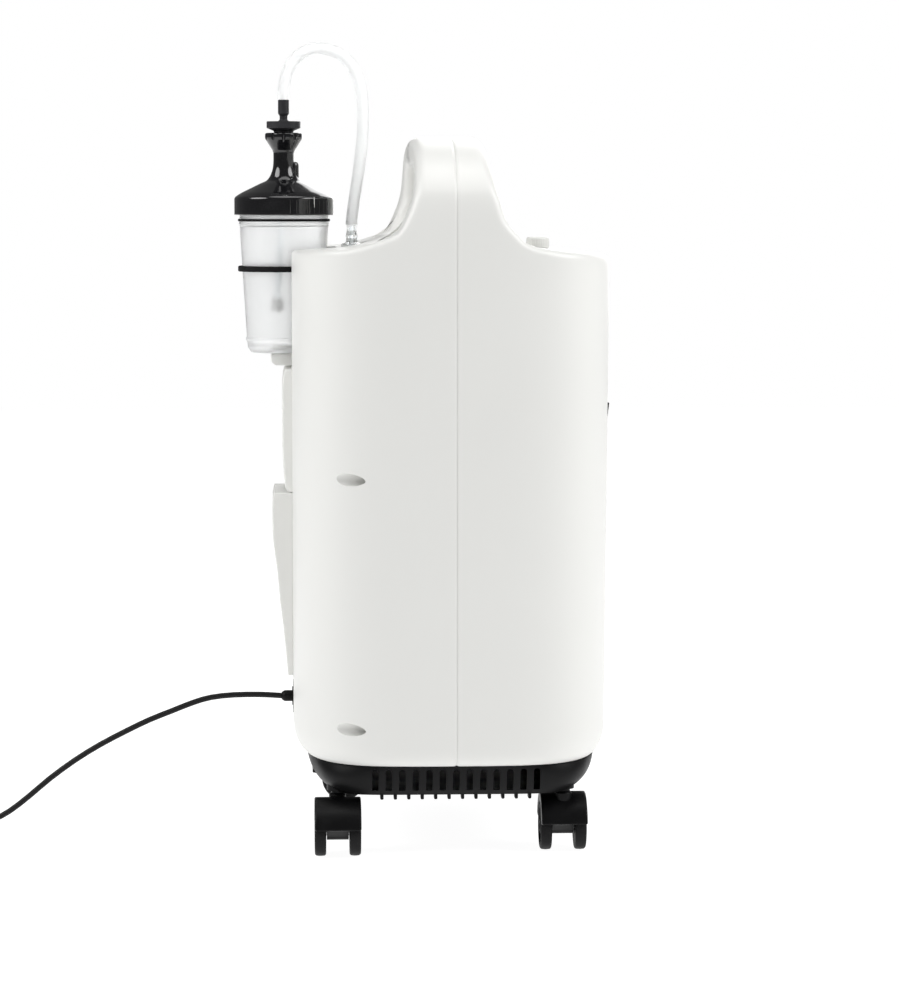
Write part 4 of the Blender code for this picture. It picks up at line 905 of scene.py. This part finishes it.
def bottle_strap():
    """Elastic band round the rear of the bottle, with a foot on each wall of the niche."""
    outer_r = STRAP_R + 3.2
    end, foot, foot_rear = NICHE_X - GAP, STRAP_FOOT_Y, STRAP_FOOT_REAR_Y
    near_foot = [(-outer_r, foot_rear + 1), (-end, foot_rear), (-end, foot), (-STRAP_R, foot)]
    far_foot = [(-x, y) for x, y in near_foot[::-1]]
    outline = [*arc(0, JAR_Y, outer_r, 0, 180, 72), *near_foot,
               *arc(0, JAR_Y, STRAP_R, 180, 0, 72), *far_foot]
    strap = mesh_object("strap", prism_mesh(outline, "Z", STRAP_LOW, STRAP_TOP), STRAP)
    round_edges(strap, 1.1, 4, 50)
    done(strap, "cabinet", "strap_rubber", "bottle_strap")


def outlet_nipple():
    """Flanged barb on the rear shoulder."""
    z = NIPPLE_SEAT_Z + GAP
    profile = softened([(2, z), (9, z), (9, z + 3.5), (5.2, z + 5), (4.6, z + 9), (5.2, z + 10),
                        (4.2, z + 15), (4.2, NIPPLE_TOP), (2, NIPPLE_TOP)], 0.8)
    obj = mesh_object("outlet_barb", turned_mesh(profile, (0, NIPPLE_Y, 0)), CLEAR)
    done(obj, "cabinet", "clear_plastic", "outlet_nipple")


def humidifier():
    """Bottle with a black ring under the lid that paints the shade of the lid's thread, lid with its neck,
    valve and patient port, hand nut, and hose nozzle.
    """
    centre = (0, JAR_Y, 0)
    slope = (JAR_TOP_R - JAR_LOW_R) / (JAR_TOP - JAR_LOW)

    def radius(z, out=0.0):
        return JAR_LOW_R + slope * (z - JAR_LOW) + out

    outside = [(0, JAR_LOW + 2.2), (18, JAR_LOW + 1.6), (24, JAR_LOW), (JAR_LOW_R - 3, JAR_LOW),
               (JAR_LOW_R, JAR_LOW + 4.5), (radius(428), 428), (radius(429.2, 0.7), 429.2),
               (radius(431.2, 0.7), 431.2), (radius(432.4), 432.4), (radius(480), 480), (radius(528), 528),
               (radius(529, 0.6), 529), (radius(531.5, 0.6), 531.5), (radius(532.5, -0.2), 532.5),
               (JAR_TOP_R - 0.3, JAR_TOP),
               (THREAD_R, JAR_TOP + 1), (THREAD_R, THREAD_TOP), (THREAD_R - JAR_WALL, THREAD_TOP)]
    within = [(THREAD_R - JAR_WALL - 0.6, JAR_TOP - 1), (JAR_LOW_R - JAR_WALL + slope * 5, JAR_LOW + 7),
              (JAR_LOW_R - 6, JAR_LOW + 3.6), (18, JAR_LOW + 4.4), (0, JAR_LOW + 4.8)]
    jar = mesh_object("bottle", turned_mesh(softened(outside + within, 1.6), centre, "Z", 128), BOTTLE)
    done(jar, "bottle", "bottle_clear", "humidifier_bottle")
    # painted shade: a black rubber ring outside the bottle, just under the lid, where the lid's thread throws
    # its shadow
    ring = softened([(SHADE_RING_INNER_R, SHADE_RING_LOW), (SHADE_RING_R, SHADE_RING_LOW), (SHADE_RING_R, SHADE_RING_TOP),
                     (SHADE_RING_INNER_R, SHADE_RING_TOP)], 0.5)
    done(mesh_object("thread_shade_ring", turned_mesh(ring, centre, "Z", 96), STRAP), "bottle", "strap_rubber")

    lid = [(THREAD_R + 0.4, LID_LOW), (LID_R, LID_LOW), (LID_R, LID_RIM - 1.5), (LID_R - 1, LID_RIM),
           (37.5, LID_RIM + 3.2), (29.6, LID_RIM + 7), (20.5, LID_RIM + 11.5), (14.6, LID_RIM + 14),
           (11.8, LID_RIM + 18), (NECK_R + 0.6, LID_RIM + 24), (NECK_R, LID_RIM + 30),
           (NECK_R, LID_TOP + 0.25), (LID_BORE_R, LID_TOP + 0.25), (LID_BORE_R, THREAD_TOP + 2),
           (THREAD_R + 0.4, THREAD_TOP + 2)]
    radii = [0, 1, 1.5, 2, 6, 6, 6, 4, 4, 4, 3, 0.2, 0.2, 0.3, 0]
    obj = mesh_object("lid", turned_mesh(softened(lid, radii, 6), centre, "Z", 144), GLOSS)
    flute(obj, 48, LID_R + 1.05, JAR_Y, 1.25, LID_LOW + 1.4, LID_RIM - 3, 10)
    valve = [(0, LID_RIM + 6), (VALVE_R, LID_RIM + 6), (VALVE_R, VALVE_TOP - 2.5),
             (VALVE_R - 1.2, VALVE_TOP - 0.3), (0, VALVE_TOP)]
    fuse(obj, turned_mesh(softened(valve, 1.2), (0, VALVE_Y, 0), "Z", 40))
    cut(obj, cylinder_mesh(LID_BORE_R, THREAD_TOP + 3, LID_TOP + 4, centre))
    port = [(0, NECK_R - 3), (PORT_R, NECK_R - 3), (PORT_R - 0.5, PORT_X - 8), (PORT_R, PORT_X - 6.5),
            (PORT_R - 0.7, PORT_X - 0.6), (PORT_R - 1.2, PORT_X), (0, PORT_X)]
    fuse(obj, turned_mesh(port, (0, JAR_Y, PORT_Z), "X", 32))
    done(obj, "humidifier", "gloss_black", "humidifier_lid")

    low = LID_TOP + GAP
    nut = [(5.8, low), (NECK_R + 0.3, low), (NECK_R + 0.6, low + 1.7), (12.9, low + 6.9),
           (NUT_R - 0.3, low + 11.5), (NUT_R, low + 13), (NUT_R, NUT_TOP - 1), (NUT_R - 1, NUT_TOP),
           (5.8, NUT_TOP)]
    nut = softened(nut, [0, 0.2, 1, 2, 2, 1, 1, 1, 0])
    obj = mesh_object("nut", turned_mesh(nut, centre, "Z", 120), GLOSS)
    flute(obj, 10, NUT_R + 1, JAR_Y, 2, low + 3, NUT_TOP + 2, 20)
    round_edges(obj, 0.35, 2)
    done(obj, "hand_nut", "gloss_black", "humidifier_nut")

    neck = NUT_TOP + GAP
    connector = [(2, PORT_Z), (5, PORT_Z), (5, low), (5.4, low + 0.5), (5.4, neck), (8.6, neck),
                 (8.6, neck + 1.4), (FLANGE_R, FLANGE_TOP - 5.8), (FLANGE_R, FLANGE_TOP), (5, FLANGE_TOP),
                 (3.4, FLANGE_TOP + 1.5), (3.4, 624), (NOZZLE_R, 626), (NOZZLE_R, NOZZLE_TOP),
                 (2, NOZZLE_TOP)]
    obj = mesh_object("hose_nozzle", turned_mesh(softened(connector, 0.6), centre), GREY)
    done(obj, "humidifier", "connector_grey", "hose_connector")


def flow_knob():
    """Low round knob with a grip notch and a knurled side."""
    low = KNOB_SEAT_Z + GAP
    profile = softened([(0, low), (KNOB_R - 0.5, low), (KNOB_R, low + 1), (KNOB_R, KNOB_TOP - 1.5),
                        (KNOB_R - 1.5, KNOB_TOP), (0, KNOB_TOP - 0.3)], 1.2)
    obj = mesh_object("knob", turned_mesh(profile, (0, KNOB_Y, 0)), WHITE)
    flute(obj, 32, KNOB_R + 0.3, KNOB_Y, 0.55, low + 2, KNOB_TOP - 1.8, 10)
    notch = box_mesh((-0.8, KNOB_Y - KNOB_R - 1, KNOB_TOP - 1), (0.8, KNOB_Y - 3, KNOB_TOP + 1))
    cut(obj, notch)
    done(obj, "knob", "shell_white", "flow_knob")


# pieces that keep their CAD shape --------

def dress(name, finish):
    """Give a CAD node its material, and round its edges."""
    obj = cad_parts[name]
    obj.data.materials.clear()
    obj.data.materials.append(finish)
    obj.data.polygons.foreach_set("material_index", [0] * len(obj.data.polygons))
    obj.data.polygons.foreach_set("use_smooth", [True] * len(obj.data.polygons))
    weld = obj.modifiers.new("weld", "WELD")
    weld.merge_threshold = 0.01 * MM
    edge = obj.modifiers.new("edges", "BEVEL")
    edge.width, edge.segments = 0.4 * MM, 2
    edge.limit_method, edge.angle_limit = "ANGLE", math.radians(40)
    shade = obj.modifiers.new("shade", "WEIGHTED_NORMAL")
    shade.keep_sharp = True


DRESSED = {
    PANEL: "front_panel", DISPLAY: "display_window", FOAM: "filter_foam", PALE: "bubble_diffuser",
    BOARD: "control_board", CLEAR: "flowmeter_body dip_tube",
    BLACK: "power_rocker breaker_button power_inlet fan_shroud fan_rotor intake_muffler",
    ALLOY: "compressor_motor compressor_head_left compressor_head_right sieve_bed_left sieve_bed_right "
           "product_tank valve_manifold heat_exchanger",
    STEEL: "flowmeter_float chassis_plate shell_screw_left_low shell_screw_left_high "
           "shell_screw_right_low shell_screw_right_high caster_rear_left_axle caster_rear_right_axle "
           "caster_front_left_axle caster_front_right_axle",
}


# light --------

def studio():
    """White surroundings, a pale floor and large soft lights."""
    world = bpy.data.worlds.new("white")
    world.use_nodes = True
    bpy.context.scene.world = world
    nodes, link = world.node_tree.nodes, world.node_tree.links.new
    seen = nodes["Background"]
    lit, gleam = nodes.new("ShaderNodeBackground"), nodes.new("ShaderNodeBackground")
    seen.inputs["Color"].default_value = (1, 1, 1, 1)
    lit.inputs["Color"].default_value = (0.98, 0.99, 1, 1)
    lit.inputs["Strength"].default_value = FILL
    gleam.inputs["Color"].default_value = (1, 1, 1, 1)
    gleam.inputs["Strength"].default_value = FILL
    path, through = nodes.new("ShaderNodeLightPath"), nodes.new("ShaderNodeMath")
    through.operation = "MAXIMUM"
    link(path.outputs["Is Camera Ray"], through.inputs[0])
    link(path.outputs["Is Transmission Ray"], through.inputs[1])
    shaded, mix = nodes.new("ShaderNodeMixShader"), nodes.new("ShaderNodeMixShader")
    link(path.outputs["Is Glossy Ray"], shaded.inputs["Fac"])
    link(lit.outputs["Background"], shaded.inputs[1])
    link(gleam.outputs["Background"], shaded.inputs[2])
    link(through.outputs["Value"], mix.inputs["Fac"])
    link(shaded.outputs["Shader"], mix.inputs[1])
    link(seen.outputs["Background"], mix.inputs[2])
    link(mix.outputs["Shader"], nodes["World Output"].inputs["Surface"])

    reach = 6000
    floor_mesh = prism_mesh(rounded_rectangle(-reach, -reach, reach, reach, 500), "Z", -20, -0.05)
    floor_finish = shader("floor", (0.3, 0.3, 0.3), 0.7, 0.01, 0.05, 3, 120, 0.05, Emission_Strength=0.96,
                          Specular_IOR_Level=0.0)
    floor_finish.node_tree.nodes["Principled BSDF"].inputs["Emission Color"].default_value = (1, 1, 1, 1)
    mesh_object("floor", floor_mesh, floor_finish)

    for name, (place, power) in LIGHTS.items():
        data = bpy.data.lights.new(name, "AREA")
        data.shape, data.size, data.energy = "DISK", LIGHT_SIZE, power
        light = bpy.data.objects.new(name, data)
        bpy.context.collection.objects.link(light)
        light.location = in_frame(*place)
        light.rotation_euler = (in_frame(*AIM) - light.location).to_track_quat("-Z", "Y").to_euler()
    bpy.context.scene.view_settings.view_transform = "Standard"


camera()
strain_relief()
power_cord()
humidifier_hose()
shells()
base_tray()
caster("caster_rear_left", -STEM_X, STEM_REAR_Y, -TRAIL)
caster("caster_rear_right", STEM_X, STEM_REAR_Y, -TRAIL, 90)
caster("caster_front_left", -STEM_X, STEM_FRONT_Y, TRAIL)
caster("caster_front_right", STEM_X, STEM_FRONT_Y, TRAIL)
filter_door()
bottle_shelf()
bottle_strap()
outlet_nipple()
humidifier()
flow_knob()
for material, names in DRESSED.items():
    for name in names.split():
        dress(name, material)
studio()
